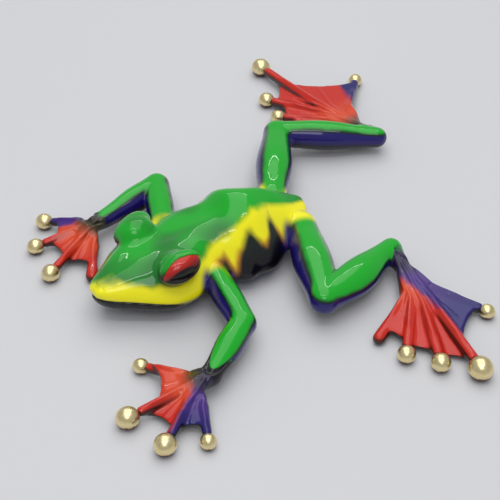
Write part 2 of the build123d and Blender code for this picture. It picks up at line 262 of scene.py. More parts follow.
def move_vertices(piece: bpy.types.Object, places: np.ndarray) -> None:
    """Put a piece's vertices at new places."""
    piece.data.vertices.foreach_set("co", places.ravel())
    piece.data.update()


def edge_ends(piece: bpy.types.Object) -> np.ndarray:
    """The two vertices of each edge.

    Args:
        piece: A mesh object.

    Returns:
        One row of two vertex numbers for each edge.
    """
    ends = np.zeros(len(piece.data.edges) * 2, dtype=np.int64)
    piece.data.edges.foreach_get("vertices", ends)
    return ends.reshape(-1, 2)


def select_vertices(piece: bpy.types.Object, chosen: np.ndarray) -> None:
    """Select a piece's vertices with the edges and faces between them, in object mode.

    Args:
        piece: A mesh object.
        chosen: Whether each vertex is selected.
    """
    mesh = piece.data
    mesh.vertices.foreach_set("select", chosen.astype(bool))
    for parts in (mesh.edges, mesh.polygons):
        parts.foreach_set("select", [all(chosen[i] for i in part.vertices) for part in parts])


def copy_of_node(node: bpy.types.Object, name: str) -> bpy.types.Object:
    """A free copy of a CAD node with its loose triangles merged.

    Args:
        node: The CAD node's object, which isn't changed.
        name: A name for the copy.

    Returns:
        The copy, at the origin and parented to nothing.
    """
    work_on(node)
    bpy.ops.object.duplicate()
    piece = bpy.context.object
    piece.name = name
    piece.parent = None
    piece.matrix_world = Matrix.Identity(4)
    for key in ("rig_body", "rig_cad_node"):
        if key in piece:
            del piece[key]
    piece.data.materials.clear()
    bpy.ops.object.mode_set(mode="EDIT")
    bpy.ops.mesh.select_all(action="SELECT")
    bpy.ops.mesh.remove_doubles(threshold=MERGE_DISTANCE)
    bpy.ops.object.mode_set(mode="OBJECT")
    return piece


def show(piece: bpy.types.Object, slot: Slot, *nodes: str) -> None:
    """Let a finished piece ride on the frame in place of CAD nodes.

    Args:
        piece: The finished piece.
        slot: The record's finish that it stands for; not used.
        nodes: The CAD nodes that it stands for.
    """
    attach(piece, "root")
    if nodes:
        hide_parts(*nodes)
    LOG.info("%s: %d faces", piece.name, len(piece.data.polygons))


@dataclass(frozen=True)
class Cloud:
    """Cloudy noise.

    Attributes:
        scale: How many clouds there are to a millimetre.
        detail: How many finer layers they have.
        swing: How far the noise moves an edge in all, where it moves one.
    """

    scale: float
    detail: float
    swing: float = 0.0


class Wiring:
    """Adds nodes to one node tree and joins their sockets."""

    def __init__(self, tree: bpy.types.NodeTree) -> None:
        """Keep the tree to work on."""
        self.tree = tree

    def add(self, kind: str, *values: object, **settings: object) -> bpy.types.Node:
        """Add a shader node.

        Args:
            kind: The node's type, without what all types start with.
            values: A value or a socket for each of its first inputs.
            settings: The node's properties by name.

        Returns:
            The node.
        """
        node = self.tree.nodes.new("ShaderNode" + kind)
        for name, value in settings.items():
            setattr(node, name, value)
        for socket, value in zip(node.inputs, values):
            self.feed(socket, value)
        return node

    def feed(self, socket: Socket, value: object) -> None:
        """Join a socket to another one, or set its value.

        Args:
            socket: An input socket.
            value: An output socket, or a plain value.
        """
        if isinstance(value, Socket):
            self.tree.links.new(value, socket)
        else:
            socket.default_value = value

    def math(self, operation: str, *values: object) -> Socket:
        """The result of a Math node."""
        return self.add("Math", *values, operation=operation).outputs[0]

    def vector(self, operation: str, *values: object) -> Socket:
        """The vector from a Vector Math node."""
        return self.add("VectorMath", *values, operation=operation).outputs["Vector"]

    def dot(self, first: object, second: object) -> Socket:
        """The dot product of two vectors."""
        return self.add("VectorMath", first, second, operation="DOT_PRODUCT").outputs["Value"]

    def scaled(self, vector: object, factor: object) -> Socket:
        """A vector times a number.

        Args:
            vector: The vector.
            factor: The number.

        Returns:
            The scaled vector.
        """
        node = self.add("VectorMath", vector, operation="SCALE")
        self.feed(node.inputs["Scale"], factor)
        return node.outputs["Vector"]

    def part(self, vector: Socket, axis: int) -> Socket:
        """One of a vector's three numbers."""
        return self.add("SeparateXYZ", vector).outputs[axis]

    def fade(self, value: Socket, span: Pair) -> Socket:
        """A soft step from 0 at the span's start to 1 at its stop."""
        return self.add("MapRange", value, *span, interpolation_type="SMOOTHSTEP").outputs[0]

    def blend(self, share: Socket, first: object, second: object) -> Socket:
        """A colour between two others.

        Args:
            share: How much of the second colour there is, from 0 to 1.
            first: The first colour.
            second: The second colour.

        Returns:
            The blended colour.
        """
        node = self.add("Mix", share, data_type="RGBA")
        entries = [socket for socket in node.inputs if socket.type == "RGBA"]
        self.feed(entries[0], first)
        self.feed(entries[1], second)
        return next(socket for socket in node.outputs if socket.type == "RGBA")

    def noise(self, where: Socket, cloud: Cloud) -> Socket:
        """Cloudy noise from 0 to 1.

        Args:
            where: The place, in millimetres.
            cloud: What the noise is like.

        Returns:
            The noise.
        """
        node = self.add("TexNoise")
        self.feed(node.inputs["Vector"], where)
        node.inputs["Scale"].default_value = cloud.scale
        node.inputs["Detail"].default_value = cloud.detail
        return node.outputs[0]

    def swung(self, noise: Socket, swing: float) -> Socket:
        """Noise that lies round 0 and swings by so much in all."""
        return self.math("MULTIPLY_ADD", noise, swing, -swing / 2)

    def group(self, tree: bpy.types.NodeTree, **values: object) -> bpy.types.Node:
        """Place a node group.

        Args:
            tree: The group.
            values: A value or a socket for each of its inputs by name.

        Returns:
            The group's node.
        """
        node = self.tree.nodes.new("ShaderNodeGroup")
        node.node_tree = tree
        for name, value in values.items():
            self.feed(node.inputs[name], value)
        return node


def new_group(
    name: str, inputs: dict[str, str], outputs: dict[str, str]
) -> tuple[Wiring, dict[str, Socket], bpy.types.Node]:
    """Start a node group.

    Args:
        name: The group's name.
        inputs: The kind of each input by name: Float, Vector or Color.
        outputs: The kind of each output by name.

    Returns:
        The wiring of the group, its input sockets by name, and its output node.
    """
    tree = bpy.data.node_groups.new(name, "ShaderNodeTree")
    for label, kind in inputs.items():
        tree.interface.new_socket(name=label, in_out="INPUT", socket_type="NodeSocket" + kind)
    for label, kind in outputs.items():
        tree.interface.new_socket(name=label, in_out="OUTPUT", socket_type="NodeSocket" + kind)
    entry = tree.nodes.new("NodeGroupInput")
    leave = tree.nodes.new("NodeGroupOutput")
    sockets = {label: entry.outputs[label] for label in inputs}
    return Wiring(tree), sockets, leave


@dataclass(frozen=True)
class Paints:
    """The enamels and the bare bronze, as they look on the figurine."""

    green: Colour = colour(8, 172, 32)
    deep_green: Colour = colour(10, 120, 30)
    bottle_green: Colour = colour(14, 32, 18)
    teal: Colour = colour(6, 24, 22)
    yellow: Colour = colour(255, 246, 18)
    orange: Colour = colour(226, 150, 34)
    black: Colour = colour(8, 7, 13)
    indigo: Colour = colour(26, 14, 104)
    violet: Colour = colour(74, 38, 128)
    heel_violet: Colour = colour(34, 22, 60)
    olive: Colour = colour(58, 52, 24)
    red: Colour = colour(204, 36, 16)
    red_orange: Colour = colour(222, 74, 32)
    maroon: Colour = colour(74, 22, 14)
    # The eye's red in painted shade and in painted light.
    eye_shadow: Colour = colour(96, 10, 6)
    eye_light: Colour = colour(204, 32, 16)
    pupil: Colour = colour(10, 2, 2)
    pale_gold: Colour = colour(248, 236, 190)
    gold: Colour = colour(226, 202, 138)


PAINTS = Paints()


@dataclass(frozen=True)
class Digit:
    """A finger or toe, steered from the wrist or ankle.

    Attributes:
        tip: Heading of its tip, in degrees.
        reach: How far its tip is from the wrist or ankle, in millimetres.
        knuckle: Heading of its bend, in degrees.
        pad: Diameter of its polished pad in millimetres, or 0 where it is painted.
    """

    tip: float
    reach: float
    knuckle: float
    pad: float


@dataclass(frozen=True)
class Limb:
    """An arm or leg with its hand or foot, in millimetres.

    Attributes:
        arm: The CAD node of the arm or leg.
        hand: The CAD node of the hand or foot.
        root: Where its axis starts inside the body.
        bend: The middle of the elbow or knee.
        end: The middle of the wrist or ankle.
        digits: Its digits, from the inside out.
        girth: About how thick the limb is.
        fade_reach: How far from the wrist the web's own colour has come up.
        indigo_heading: Heading of the line past which the hand is indigo.
        indigo_sign: 1 where indigo lies to the left of that line, seen from above, or -1.
        indigo_shift: How far from the wrist's middle, towards indigo, that line runs.
        edges: How level the surface is where green ends, on the limb's two stretches.
        painted_shade_sides: The level way to the side of each stretch that is painted darker as
            painted shade, as long as it is strong.
        knuckle_share: How far out a digit bends, as a share of its reach.
    """

    arm: str
    hand: str
    root: Vector
    bend: Vector
    end: Vector
    digits: tuple[Digit, ...]
    girth: float
    fade_reach: float
    indigo_heading: float
    indigo_sign: float
    indigo_shift: float
    edges: Pair
    painted_shade_sides: tuple[Vector, Vector]
    knuckle_share: float = 0.53

    def tip(self, digit: Digit) -> Vector:
        """The place of a digit's tip, seen from above."""
        return self.end + heading(digit.tip) * digit.reach

    def knuckle(self, digit: Digit) -> Vector:
        """The place of a digit's bend, seen from above."""
        return self.end + heading(digit.knuckle) * digit.reach * self.knuckle_share

    def pad_node(self, digit: Digit) -> str:
        """The CAD node of a digit's pad."""
        return f"pad_{self.hand}_{self.digits.index(digit) + 1}"

    def padded(self) -> list[Digit]:
        """The digits that end in a polished pad."""
        return [digit for digit in self.digits if digit.pad]

    def indigo_way(self) -> Vector:
        """The level way into the hand's or foot's indigo."""
        return heading(self.indigo_heading + 90 * self.indigo_sign)


LIMBS = (
    Limb(
        arm="arm_left",
        hand="hand_left",
        root=Vector((14.2, -33.3, 10.2)),
        bend=Vector((43.1, -38.6, 9.6)),
        end=Vector((58.4, -61.3, 7.6)),
        digits=(
            Digit(217.0, 27.8, 222.0, 6.0),
            Digit(268.0, 33.8, 268.0, 8.4),
            Digit(300.0, 33.5, 296.0, 8.2),
            Digit(326.0, 27.4, 316.0, 6.0),
        ),
        girth=11.0,
        fade_reach=11.0,
        indigo_heading=304.0,
        indigo_sign=1.0,
        indigo_shift=-2.9,
        edges=(0.7, 0.55),
        painted_shade_sides=(Vector((0.0, -0.6, 0.0)), Vector((-0.25, 0.0, 0.0))),
    ),
    Limb(
        arm="arm_right",
        hand="hand_right",
        root=Vector((-19.7, -36.0, 10.2)),
        bend=Vector((-46.4, -23.8, 9.6)),
        end=Vector((-41.2, -50.7, 7.6)),
        digits=(
            Digit(321.0, 30.0, 314.0, 0.0),
            Digit(293.5, 35.0, 291.0, 7.2),
            Digit(262.0, 29.9, 263.0, 6.6),
            Digit(230.0, 25.5, 236.0, 6.8),
        ),
        girth=11.0,
        fade_reach=13.0,
        indigo_heading=247.0,
        indigo_sign=-1.0,
        indigo_shift=0.0,
        edges=(0.7, 0.7),
        painted_shade_sides=(Vector((0.0, 0.0, 0.0)), Vector((0.6, 0.0, 0.0))),
    ),
    Limb(
        arm="leg_left",
        hand="foot_left",
        root=Vector((8.2, 11.2, 10.4)),
        bend=Vector((48.9, -6.4, 10.6)),
        end=Vector((35.8, 34.9, 7.4)),
        digits=(
            Digit(-41.7, 46.6, -24.0, 0.0),
            Digit(-30.5, 55.5, -22.0, 7.0),
            Digit(-19.2, 61.6, -15.0, 7.4),
            Digit(-8.7, 69.7, -8.0, 9.2),
            Digit(15.0, 46.7, 2.0, 6.0),
        ),
        girth=13.0,
        fade_reach=19.0,
        indigo_heading=6.0,
        indigo_sign=1.0,
        indigo_shift=-9.4,
        edges=(0.72, 0.5),
        painted_shade_sides=(Vector((-0.1, -0.35, 0.0)), Vector((0.0, 0.0, 0.0))),
    ),
    Limb(
        arm="leg_right",
        hand="foot_right",
        root=Vector((-13.6, 11.2, 10.4)),
        bend=Vector((-49.7, 37.1, 10.6)),
        end=Vector((-27.8, 74.6, 7.4)),
        digits=(
            Digit(222.0, 38.0, 210.0, 0.0),
            Digit(210.5, 47.4, 202.0, 6.4),
            Digit(201.3, 58.5, 196.0, 6.8),
            Digit(187.0, 77.9, 189.0, 8.4),
            Digit(154.6, 51.4, 170.0, 6.0),
        ),
        girth=13.0,
        fade_reach=19.0,
        indigo_heading=165.0,
        indigo_sign=-1.0,
        indigo_shift=0.0,
        edges=(0.68, 0.74),
        painted_shade_sides=(Vector((-0.15, -0.3, 0.0)), Vector((0.25, -0.25, 0.0))),
    ),
)


@dataclass(frozen=True)
class Head:
    """Where the head's features lie, in millimetres.

    Attributes:
        turn: How far the snout is turned from straight ahead, in degrees.
        lip: A place in the plane between the lips.
        lip_rise: How steeply that plane rises towards the snout, in degrees.
        mouth_corner: How far forward the mouth starts.
        jaw_drop: How much lower the chin hangs than in the frame.
        nostrils: The middles of the nostrils.
        brows: The middle of the brow over each eye.
        brow_sizes: Width, length and depth of a brow.
        eyes: The middle of each eye.
        looks: The way that each eye looks.
        eye_sizes: Length, width and depth of an eye.
        brow_shift: How far the right brow stands out past the frame's.
        eye_tilt: How much higher the rear end of an eye lies, in degrees.
    """

    turn: float = 5.0
    lip: Vector = field(default_factory=lambda: Vector((1.9, -66.0, 10.9)))
    lip_rise: float = 6.3
    mouth_corner: float = -52.0
    jaw_drop: float = 1.6
    nostrils: tuple[Vector, ...] = (Vector((1.9, -77.4, 17.2)), Vector((6.2, -77.0, 17.2)))
    brows: dict[Side, Vector] = field(
        default_factory=lambda: {
            Side.LEFT: Vector((13.8, -49.1, 20.6)),
            Side.RIGHT: Vector((-13.1, -51.8, 19.4)),
        }
    )
    brow_sizes: Vector = field(default_factory=lambda: Vector((14.0, 15.8, 14.4)))
    eyes: dict[Side, Vector] = field(
        default_factory=lambda: {
            Side.LEFT: Vector((17.7, -49.7, 23.5)),
            Side.RIGHT: Vector((-16.2, -51.6, 19.6)),
        }
    )
    looks: dict[Side, Vector] = field(
        default_factory=lambda: {
            Side.LEFT: Vector((0.80, -0.13, 0.58)),
            Side.RIGHT: Vector((-0.93, -0.27, 0.25)),
        }
    )
    eye_sizes: Vector = field(default_factory=lambda: Vector((16.4, 10.6, 9.6)))
    brow_shift: Vector = field(default_factory=lambda: Vector((-0.6, -0.4, -1.2)))
    eye_tilt: float = 9.0

    def lip_normal(self) -> Vector:
        """The upward normal of the plane between the lips.

        Returns:
            A unit vector.
        """
        nose = heading(self.turn - 90)
        rise = math.radians(self.lip_rise)
        return (Vector((0, 0, 1)) * math.cos(rise) - nose * math.sin(rise)).normalized()

    def above_lip(self, places: np.ndarray) -> np.ndarray:
        """How far each place lies above the plane between the lips."""
        return (places - np.array(self.lip)) @ np.array(self.lip_normal())

    def eye_axes(self, side: Side) -> tuple[Vector, Vector, Vector]:
        """The axes of an eye.

        Args:
            side: Which eye.

        Returns:
            Unit vectors along its length, up across it and the way that it looks.
        """
        look = self.looks[side].normalized()
        along = heading(self.turn - 90)
        along = (along - look * along.dot(look)).normalized()
        across = look.cross(along)
        if across.z < 0:
            across = -across
        tilt = math.radians(self.eye_tilt)
        ahead = along * math.cos(tilt) - across * math.sin(tilt)
        return ahead, across * math.cos(tilt) + along * math.sin(tilt), look

    def eye_turn(self, side: Side) -> Matrix:
        """How a round start is turned to lie as an eye does.

        Args:
            side: Which eye.

        Returns:
            A turn that mirrors nothing.
        """
        ahead, across, look = self.eye_axes(side)
        turn = Matrix((ahead, across, look)).transposed()
        if turn.determinant() < 0:
            turn = Matrix((-ahead, across, look)).transposed()
        return turn

    def in_eye(self, places: np.ndarray, side: Side) -> np.ndarray:
        """Where places lie as an eye sees them.

        Args:
            places: The places, in millimetres.
            side: Which eye.

        Returns:
            How far ahead, up and out each place lies, 1 being the eye's surface.
        """
        axes = 2 * np.array(self.eye_axes(side)) / np.array(self.eye_sizes)[:, None]
        return (places - np.array(self.eyes[side])) @ axes.T


HEAD = Head()


@dataclass(frozen=True)
class Swell:
    """A place where the skin stands out further than the frame, in millimetres.

    Attributes:
        middle: Its middle.
        reach: How far it spreads.
        shift: Which way and how far it stands out.
    """

    middle: Vector
    reach: float
    shift: Vector


@dataclass(frozen=True)
class Fold:
    """A raised line that runs out over a hand or foot.

    Attributes:
        height: How high it stands, in millimetres.
        width: Its half width, in millimetres.
        start: Where it rises, as a share of the way from the wrist to the tip.
        stop: Where it ends, as a share of the same way.
    """

    height: float
    width: float
    start: float
    stop: float


@dataclass(frozen=True)
class LidForm:
    """The form of one lid.

    Attributes:
        edge: How far its edge lies above the eye's middle, as a share of the half width.
        growth: How far it stands proud of the eye, in millimetres.
    """

    edge: float
    growth: float


@dataclass(frozen=True)
class Softening:
    """Where the creases of the skin are softened, and how strongly.

    Each pair says where the softening starts and where it is full.

    Attributes:
        strength: How far a round moves a vertex towards its neighbours, at most.
        rounds: How many rounds there are.
        eye: Out from an eye's middle, its own surface being 1.
        brow: In towards a brow's middle, in millimetres.
        root: In towards where a limb starts, in millimetres.
        bend: In towards an elbow or knee, in millimetres.
        ankle: In towards a wrist or ankle, in girths of the limb.
        digit_height: Down towards the ground over the digits, in millimetres.
        digit_reach: Out from the wrist or ankle over the digits, in millimetres.
        shares: How strong it is at a root, a bend, an ankle and on the digits.
        fan_lean: Cosine of the widest angle between a digit and the middle one.
        fan_reach: How far out the digits reach at most, in millimetres.
    """

    strength: float = 0.5
    rounds: int = 60
    eye: Pair = (1.09, 1.36)
    brow: Pair = (15.0, 10.0)
    root: Pair = (15.0, 10.0)
    bend: Pair = (12.0, 7.0)
    ankle: Pair = (1.3, 0.8)
    digit_height: Pair = (9.0, 7.5)
    digit_reach: Pair = (8.0, 12.0)
    shares: tuple[float, float, float, float] = (0.9, 0.6, 0.6, 0.22)
    fan_lean: float = 0.4
    fan_reach: float = 90.0

    def at(self, places: np.ndarray) -> np.ndarray:
        """How much the skin is softened.

        Args:
            places: The places, in millimetres.

        Returns:
            For each place a number from 0, left as it is, to 1.
        """
        most = np.zeros(len(places))
        for side in Side:
            clear = ramp(np.linalg.norm(HEAD.in_eye(places, side), axis=1), *self.eye)
            most = np.maximum(most, ramp(distance(places, HEAD.brows[side]), *self.brow) * clear)
        for limb in LIMBS:
            away = distance(places[:, :2], limb.end.xy)
            digits = ramp(places[:, 2], *self.digit_height) * ramp(away, *self.digit_reach)
            parts = (
                ramp(distance(places, limb.root), *self.root),
                ramp(distance(places, limb.bend), *self.bend),
                ramp(away / limb.girth, *self.ankle),
                digits * self.in_fan(places, limb),
            )
            for share, part in zip(self.shares, parts):
                most = np.maximum(most, share * part)
        return most

    def in_fan(self, places: np.ndarray, limb: Limb) -> np.ndarray:
        """Which places lie among the digits of a limb, seen from above.

        Args:
            places: The places, in millimetres.
            limb: The limb.

        Returns:
            Whether each place does.
        """
        off = places[:, :2] - np.array(limb.end.xy)
        reach = np.linalg.norm(off, axis=1)
        middle = limb.digits[len(limb.digits) // 2]
        ahead = off @ np.array(heading(middle.knuckle).xy)
        return (ahead > self.fan_lean * reach) & (reach < self.fan_reach)


@dataclass
class Casting:
    """The whole skin of the castings, drawn together and parted again, in millimetres.

    Attributes:
        nodes: The CAD nodes by name.
        voxel: Size of the net that the skin is drawn with.
        smoothing: How many times the net is smoothed.
        smooth_factor: How far each of those times moves a vertex towards its neighbours.
        rings: How many rings a round bump has.
        lid_rings: How many rings a lid has.
        lids: The form of each lid.
        behind_gap: How much smaller what lies behind an eye is than the eye.
        brow_reach: How far the right brow's shift spreads.
        brow_height: How far above the brow's middle that shift is strongest.
        jaw: Where the lower jaw starts to hang lower, and where it does so fully.
        jaw_blend: How far below the lips it does so fully.
        jaw_skin: How far at most the jaw's skin lies from the frame's head.
        softening: Where the skin's creases are softened.
        swells: Where the skin stands out further than the frame.
        ridge: The tendon along a digit.
        pleat: The fold of web between two digits.
        fold_ends: Over which shares of its way a fold rises and ends.
        fold_facing: How fast a fold comes up as the surface turns upwards.
        pad_root: How much thinner a digit's end is than its pad.
        fine_net: How near the mouth and the nostrils the net is made finer, twice.
        groove: Half width and depth of the mouth.
        groove_start: How far behind its corner the mouth's groove starts.
        groove_run: Over which length it gets its full depth.
        nostril: Half width and depth of a nostril.
    """

    nodes: dict[str, bpy.types.Object]
    voxel: float = 0.42
    smoothing: int = 7
    smooth_factor: float = 0.5
    rings: int = 24
    lid_rings: int = 32
    lids: dict[Lid, LidForm] = field(
        default_factory=lambda: {
            Lid.UPPER: LidForm(edge=0.68, growth=0.75),
            Lid.LOWER: LidForm(edge=-0.82, growth=0.35),
        }
    )
    behind_gap: float = 0.7
    brow_reach: float = 9.0
    brow_height: float = 3.0
    jaw: Pair = (-43.0, -55.0)
    jaw_blend: float = 1.4
    jaw_skin: float = 1.0
    softening: Softening = Softening()
    swells: tuple[Swell, ...] = (
        Swell(Vector((47.5, 11.0, 9.0)), 13.0, Vector((2.3, 0.8, 0.0))),
        Swell(Vector((53.0, -66.5, 7.0)), 5.5, Vector((-3.2, 0.8, 0.0))),
    )
    ridge: Fold = Fold(height=0.6, width=0.8, start=0.06, stop=0.84)
    pleat: Fold = Fold(height=0.4, width=0.6, start=0.3, stop=0.8)
    fold_ends: Pair = (0.12, 0.14)
    fold_facing: float = 1.5
    pad_root: float = 1.6
    fine_net: Pair = (1.6, 0.8)
    groove: Pair = (0.42, 0.75)
    groove_start: float = 2.0
    groove_run: float = 6.0
    nostril: Pair = (0.55, 0.9)

    def bump(self, name: str, middle: Vector, turn: Matrix, sizes: Vector) -> bpy.types.Object:
        """A round bump with three diameters.

        Args:
            name: Its name.
            middle: Its middle, in millimetres.
            turn: The directions of its three diameters, as columns.
            sizes: The diameters, in millimetres.

        Returns:
            The mesh object.
        """
        piece = round_start(name, self.rings, 1.0)
        shape = np.array(turn @ Matrix.Diagonal(sizes))
        move_vertices(piece, (vertex_places(piece) @ shape.T + np.array(middle)) * MM)
        return piece

    def lid(self, side: Side, which: Lid) -> bpy.types.Object:
        """One lid: the part of a slightly larger eye that lies past the lid's edge.

        Args:
            side: Which eye.
            which: Which of its lids.

        Returns:
            The mesh object.
        """
        form = self.lids[which]
        piece = round_start(f"lid_{side.value}_{which.value}", self.lid_rings, 2.0)
        ahead, up, out = vertex_places(piece).T
        round_the_eye = np.clip(1 - ahead * ahead, 0, 1)
        edge = form.edge * round_the_eye
        moved = up < edge if which is Lid.UPPER else up > edge
        room = np.sqrt(np.clip(round_the_eye - edge * edge, 0, 1))
        out = np.where(moved, np.clip(out, -room, room), out)
        up = np.where(moved, edge, up)
        places = np.array(HEAD.eyes[side])
        half = HEAD.eye_sizes / 2 + Vector((1, 1, 1)) * form.growth
        for share, axis, size in zip((ahead, up, out), HEAD.eye_axes(side), half):
            places = places + share[:, None] * np.array(axis) * size
        move_vertices(piece, places * MM)
        bpy.ops.object.mode_set(mode="EDIT")
        bpy.ops.mesh.select_all(action="SELECT")
        bpy.ops.mesh.normals_make_consistent(inside=False)
        bpy.ops.object.mode_set(mode="OBJECT")
        return piece

    def orbit(self, side: Side) -> list[bpy.types.Object]:
        """What lies round an eye.

        Args:
            side: Which eye.

        Returns:
            The brow, what lies behind the eye, and the two lids.
        """
        turned = Matrix.Rotation(math.radians(HEAD.turn), 3, "Z")
        brow = self.bump("brow_" + side.value, HEAD.brows[side], turned, HEAD.brow_sizes)
        sizes = HEAD.eye_sizes - Vector((1, 1, 1)) * self.behind_gap
        name = "behind_eye_" + side.value
        behind = self.bump(name, HEAD.eyes[side], HEAD.eye_turn(side), sizes)
        return [brow, behind] + [self.lid(side, which) for which in Lid]

    def pad_roots(self, limb: Limb) -> list[bpy.types.Object]:
        """The round ends of a limb's digits, inside their pads.

        Args:
            limb: The limb.

        Returns:
            The mesh objects.
        """
        pieces = []
        for digit in limb.padded():
            name = limb.pad_node(digit)
            low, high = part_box(name)
            sizes = Vector((1, 1, 1)) * (digit.pad - self.pad_root)
            middle = (low + high) / (2 * MM)
            pieces.append(self.bump("root_" + name, middle, Matrix.Identity(3), sizes))
        return pieces

    def body_core(self) -> bpy.types.Object:
        """The body's casting with the right brow moved outwards.

        Returns:
            A changed copy of the CAD node.
        """
        piece = copy_of_node(self.nodes["body_shell"], "core_body_shell")
        places = vertex_places(piece) / MM
        spot = HEAD.brows[Side.RIGHT] - HEAD.brow_shift + Vector((0, 0, self.brow_height))
        share = np.exp(-((distance(places, spot) / self.brow_reach) ** 2))
        move_vertices(piece, (places + share[:, None] * np.array(HEAD.brow_shift)) * MM)
        return piece

    def drawn_skin(self) -> bpy.types.Object:
        """All the castings and what is added to them, as one skin.

        Returns:
            The smooth closed skin.
        """
        parts = [self.body_core()]
        for name, node in self.nodes.items():
            if not name.startswith(("eye", "pad", "body")):
                parts.append(copy_of_node(node, "core_" + name))
        for side in Side:
            parts += self.orbit(side)
        for limb in LIMBS:
            parts += self.pad_roots(limb)
        whole = joined(parts, "whole_skin")
        apply_modifier(whole, "REMESH", mode="VOXEL", voxel_size=self.voxel * MM)
        self.keep_outside(whole)
        self.hang_jaw(whole)
        apply_modifier(whole, "SMOOTH", factor=self.smooth_factor, iterations=self.smoothing)
        self.soften(whole)
        self.swell(whole)
        self.raise_folds(whole)
        self.finer_net(whole)
        self.carve(whole)
        return whole

    def keep_outside(self, whole: bpy.types.Object) -> None:
        """Delete every closed surface but the one with the most vertices.

        Args:
            whole: The skin.
        """
        group = np.arange(len(whole.data.vertices))
        ends = edge_ends(whole)
        while True:
            least = np.minimum(group[ends[:, 0]], group[ends[:, 1]])
            before = group.copy()
            np.minimum.at(group, ends[:, 0], least)
            np.minimum.at(group, ends[:, 1], least)
            group = group[group]
            if np.array_equal(before, group):
                break
        labels, counts = np.unique(group, return_counts=True)
        extra = group != labels[counts.argmax()]
        if not extra.any():
            return
        select_vertices(whole, extra)
        work_on(whole)
        bpy.ops.object.mode_set(mode="EDIT")
        bpy.ops.mesh.delete(type="VERT")
        bpy.ops.object.mode_set(mode="OBJECT")

    def hang_jaw(self, whole: bpy.types.Object) -> None:
        """Let the lower jaw hang.

        Args:
            whole: The skin.
        """
        places = vertex_places(whole) / MM
        under = np.clip(-HEAD.above_lip(places) / self.jaw_blend, 0, 1)
        share = ramp(places[:, 1], *self.jaw) * under
        depsgraph = bpy.context.evaluated_depsgraph_get()
        head = BVHTree.FromObject(self.nodes["body_shell"], depsgraph)
        for i in np.flatnonzero(share > 0):
            off = head.find_nearest(Vector(places[i]) * MM)[3]
            share[i] *= off < self.jaw_skin * MM
        places[:, 2] -= HEAD.jaw_drop * share
        move_vertices(whole, places * MM)

    def soften(self, whole: bpy.types.Object) -> None:
        """Soften the skin's creases.

        Args:
            whole: The skin.
        """
        places = vertex_places(whole)
        share = self.softening.strength * self.softening.at(places / MM)
        first, last = edge_ends(whole).T
        count = len(places)
        degree = np.bincount(first, minlength=count) + np.bincount(last, minlength=count)
        for _ in range(self.softening.rounds):
            for axis in range(3):
                column = places[:, axis].copy()
                total = np.bincount(first, column[last], count)
                total += np.bincount(last, column[first], count)
                places[:, axis] += share * (total / degree - column)
        move_vertices(whole, places)

    def swell(self, whole: bpy.types.Object) -> None:
        """Let the skin swell where it should.

        Args:
            whole: The skin.
        """
        places = vertex_places(whole) / MM
        outwards = vertex_normals(whole)
        for swell in self.swells:
            facing = np.clip(outwards @ np.array(swell.shift.normalized()), 0, 1)
            rise = np.exp(-((distance(places, swell.middle) / swell.reach) ** 2)) * facing
            places += rise[:, None] * np.array(swell.shift)
        move_vertices(whole, places * MM)

    def fold_lines(self, limb: Limb) -> list[tuple[Vector, Vector, Fold]]:
        """The raised lines of a hand or foot.

        Args:
            limb: The limb that it is on.

        Returns:
            For each line the bend that it passes, the tip where it ends, and its form.
        """
        lines = [(limb.knuckle(digit), limb.tip(digit), self.ridge) for digit in limb.digits]
        for near, far in zip(limb.digits, limb.digits[1:]):
            knuckle = (limb.knuckle(near) + limb.knuckle(far)) / 2
            tip = (limb.tip(near) + limb.tip(far)) / 2
            lines.append((knuckle, tip, self.pleat))
        return lines

    def fold_height(
        self, level: np.ndarray, wrist: Vector, knuckle: Vector, tip: Vector, fold: Fold
    ) -> np.ndarray:
        """How high one raised line stands.

        Args:
            level: The places seen from above, in millimetres.
            wrist: Where the line starts.
            knuckle: The bend that it passes.
            tip: Where it ends.
            fold: Its form.

        Returns:
            Its height at each place, in millimetres.
        """
        least = np.full(len(level), np.inf)
        along = np.zeros(len(level))
        for stretch, (first, last) in enumerate(((wrist, knuckle), (knuckle, tip))):
            share, off = beside_line(level, first.xy, last.xy)
            away = np.linalg.norm(off, axis=1)
            along = np.where(away < least, (stretch + share) / 2, along)
            least = np.minimum(away, least)
        height = fold.height * np.exp(-((least / fold.width) ** 2))
        height *= ramp(along, fold.start, fold.start + self.fold_ends[0])
        return height * ramp(along, fold.stop, fold.stop - self.fold_ends[1])

    def raise_folds(self, whole: bpy.types.Object) -> None:
        """Raise the tendons along the digits, and the folds of web between them.

        Args:
            whole: The skin.
        """
        places = vertex_places(whole) / MM
        outwards = vertex_normals(whole)
        lift = np.zeros(len(places))
        for limb in LIMBS:
            for knuckle, tip, fold in self.fold_lines(limb):
                height = self.fold_height(places[:, :2], limb.end, knuckle, tip, fold)
                lift = np.maximum(lift, height)
        lift *= np.clip(outwards[:, 2] * self.fold_facing, 0, 1)
        move_vertices(whole, (places + outwards * lift[:, None]) * MM)

    def finer_net(self, whole: bpy.types.Object) -> None:
        """Make the net finer along the mouth and at the nostrils.

        Args:
            whole: The skin.
        """
        for width in self.fine_net:
            places = vertex_places(whole) / MM
            near = (abs(HEAD.above_lip(places)) < width) & (places[:, 1] < HEAD.mouth_corner)
            for nostril in HEAD.nostrils:
                near |= distance(places, nostril) < width
            select_vertices(whole, near)
            work_on(whole)
            bpy.ops.object.mode_set(mode="EDIT")
            bpy.ops.mesh.subdivide(number_cuts=1, smoothness=0)
            bpy.ops.object.mode_set(mode="OBJECT")

    def carve(self, whole: bpy.types.Object) -> None:
        """Press the mouth and the nostrils into the skin.

        Args:
            whole: The skin.
        """
        places = vertex_places(whole) / MM
        width, depth = self.groove
        press = depth * np.exp(-((HEAD.above_lip(places) / width) ** 2))
        ahead = HEAD.mouth_corner + self.groove_start - places[:, 1]
        press *= np.clip(ahead / self.groove_run, 0, 1)
        width, depth = self.nostril
        for nostril in HEAD.nostrils:
            press += depth * np.exp(-((distance(places, nostril) / width) ** 2))
        move_vertices(whole, (places - vertex_normals(whole) * press[:, None]) * MM)

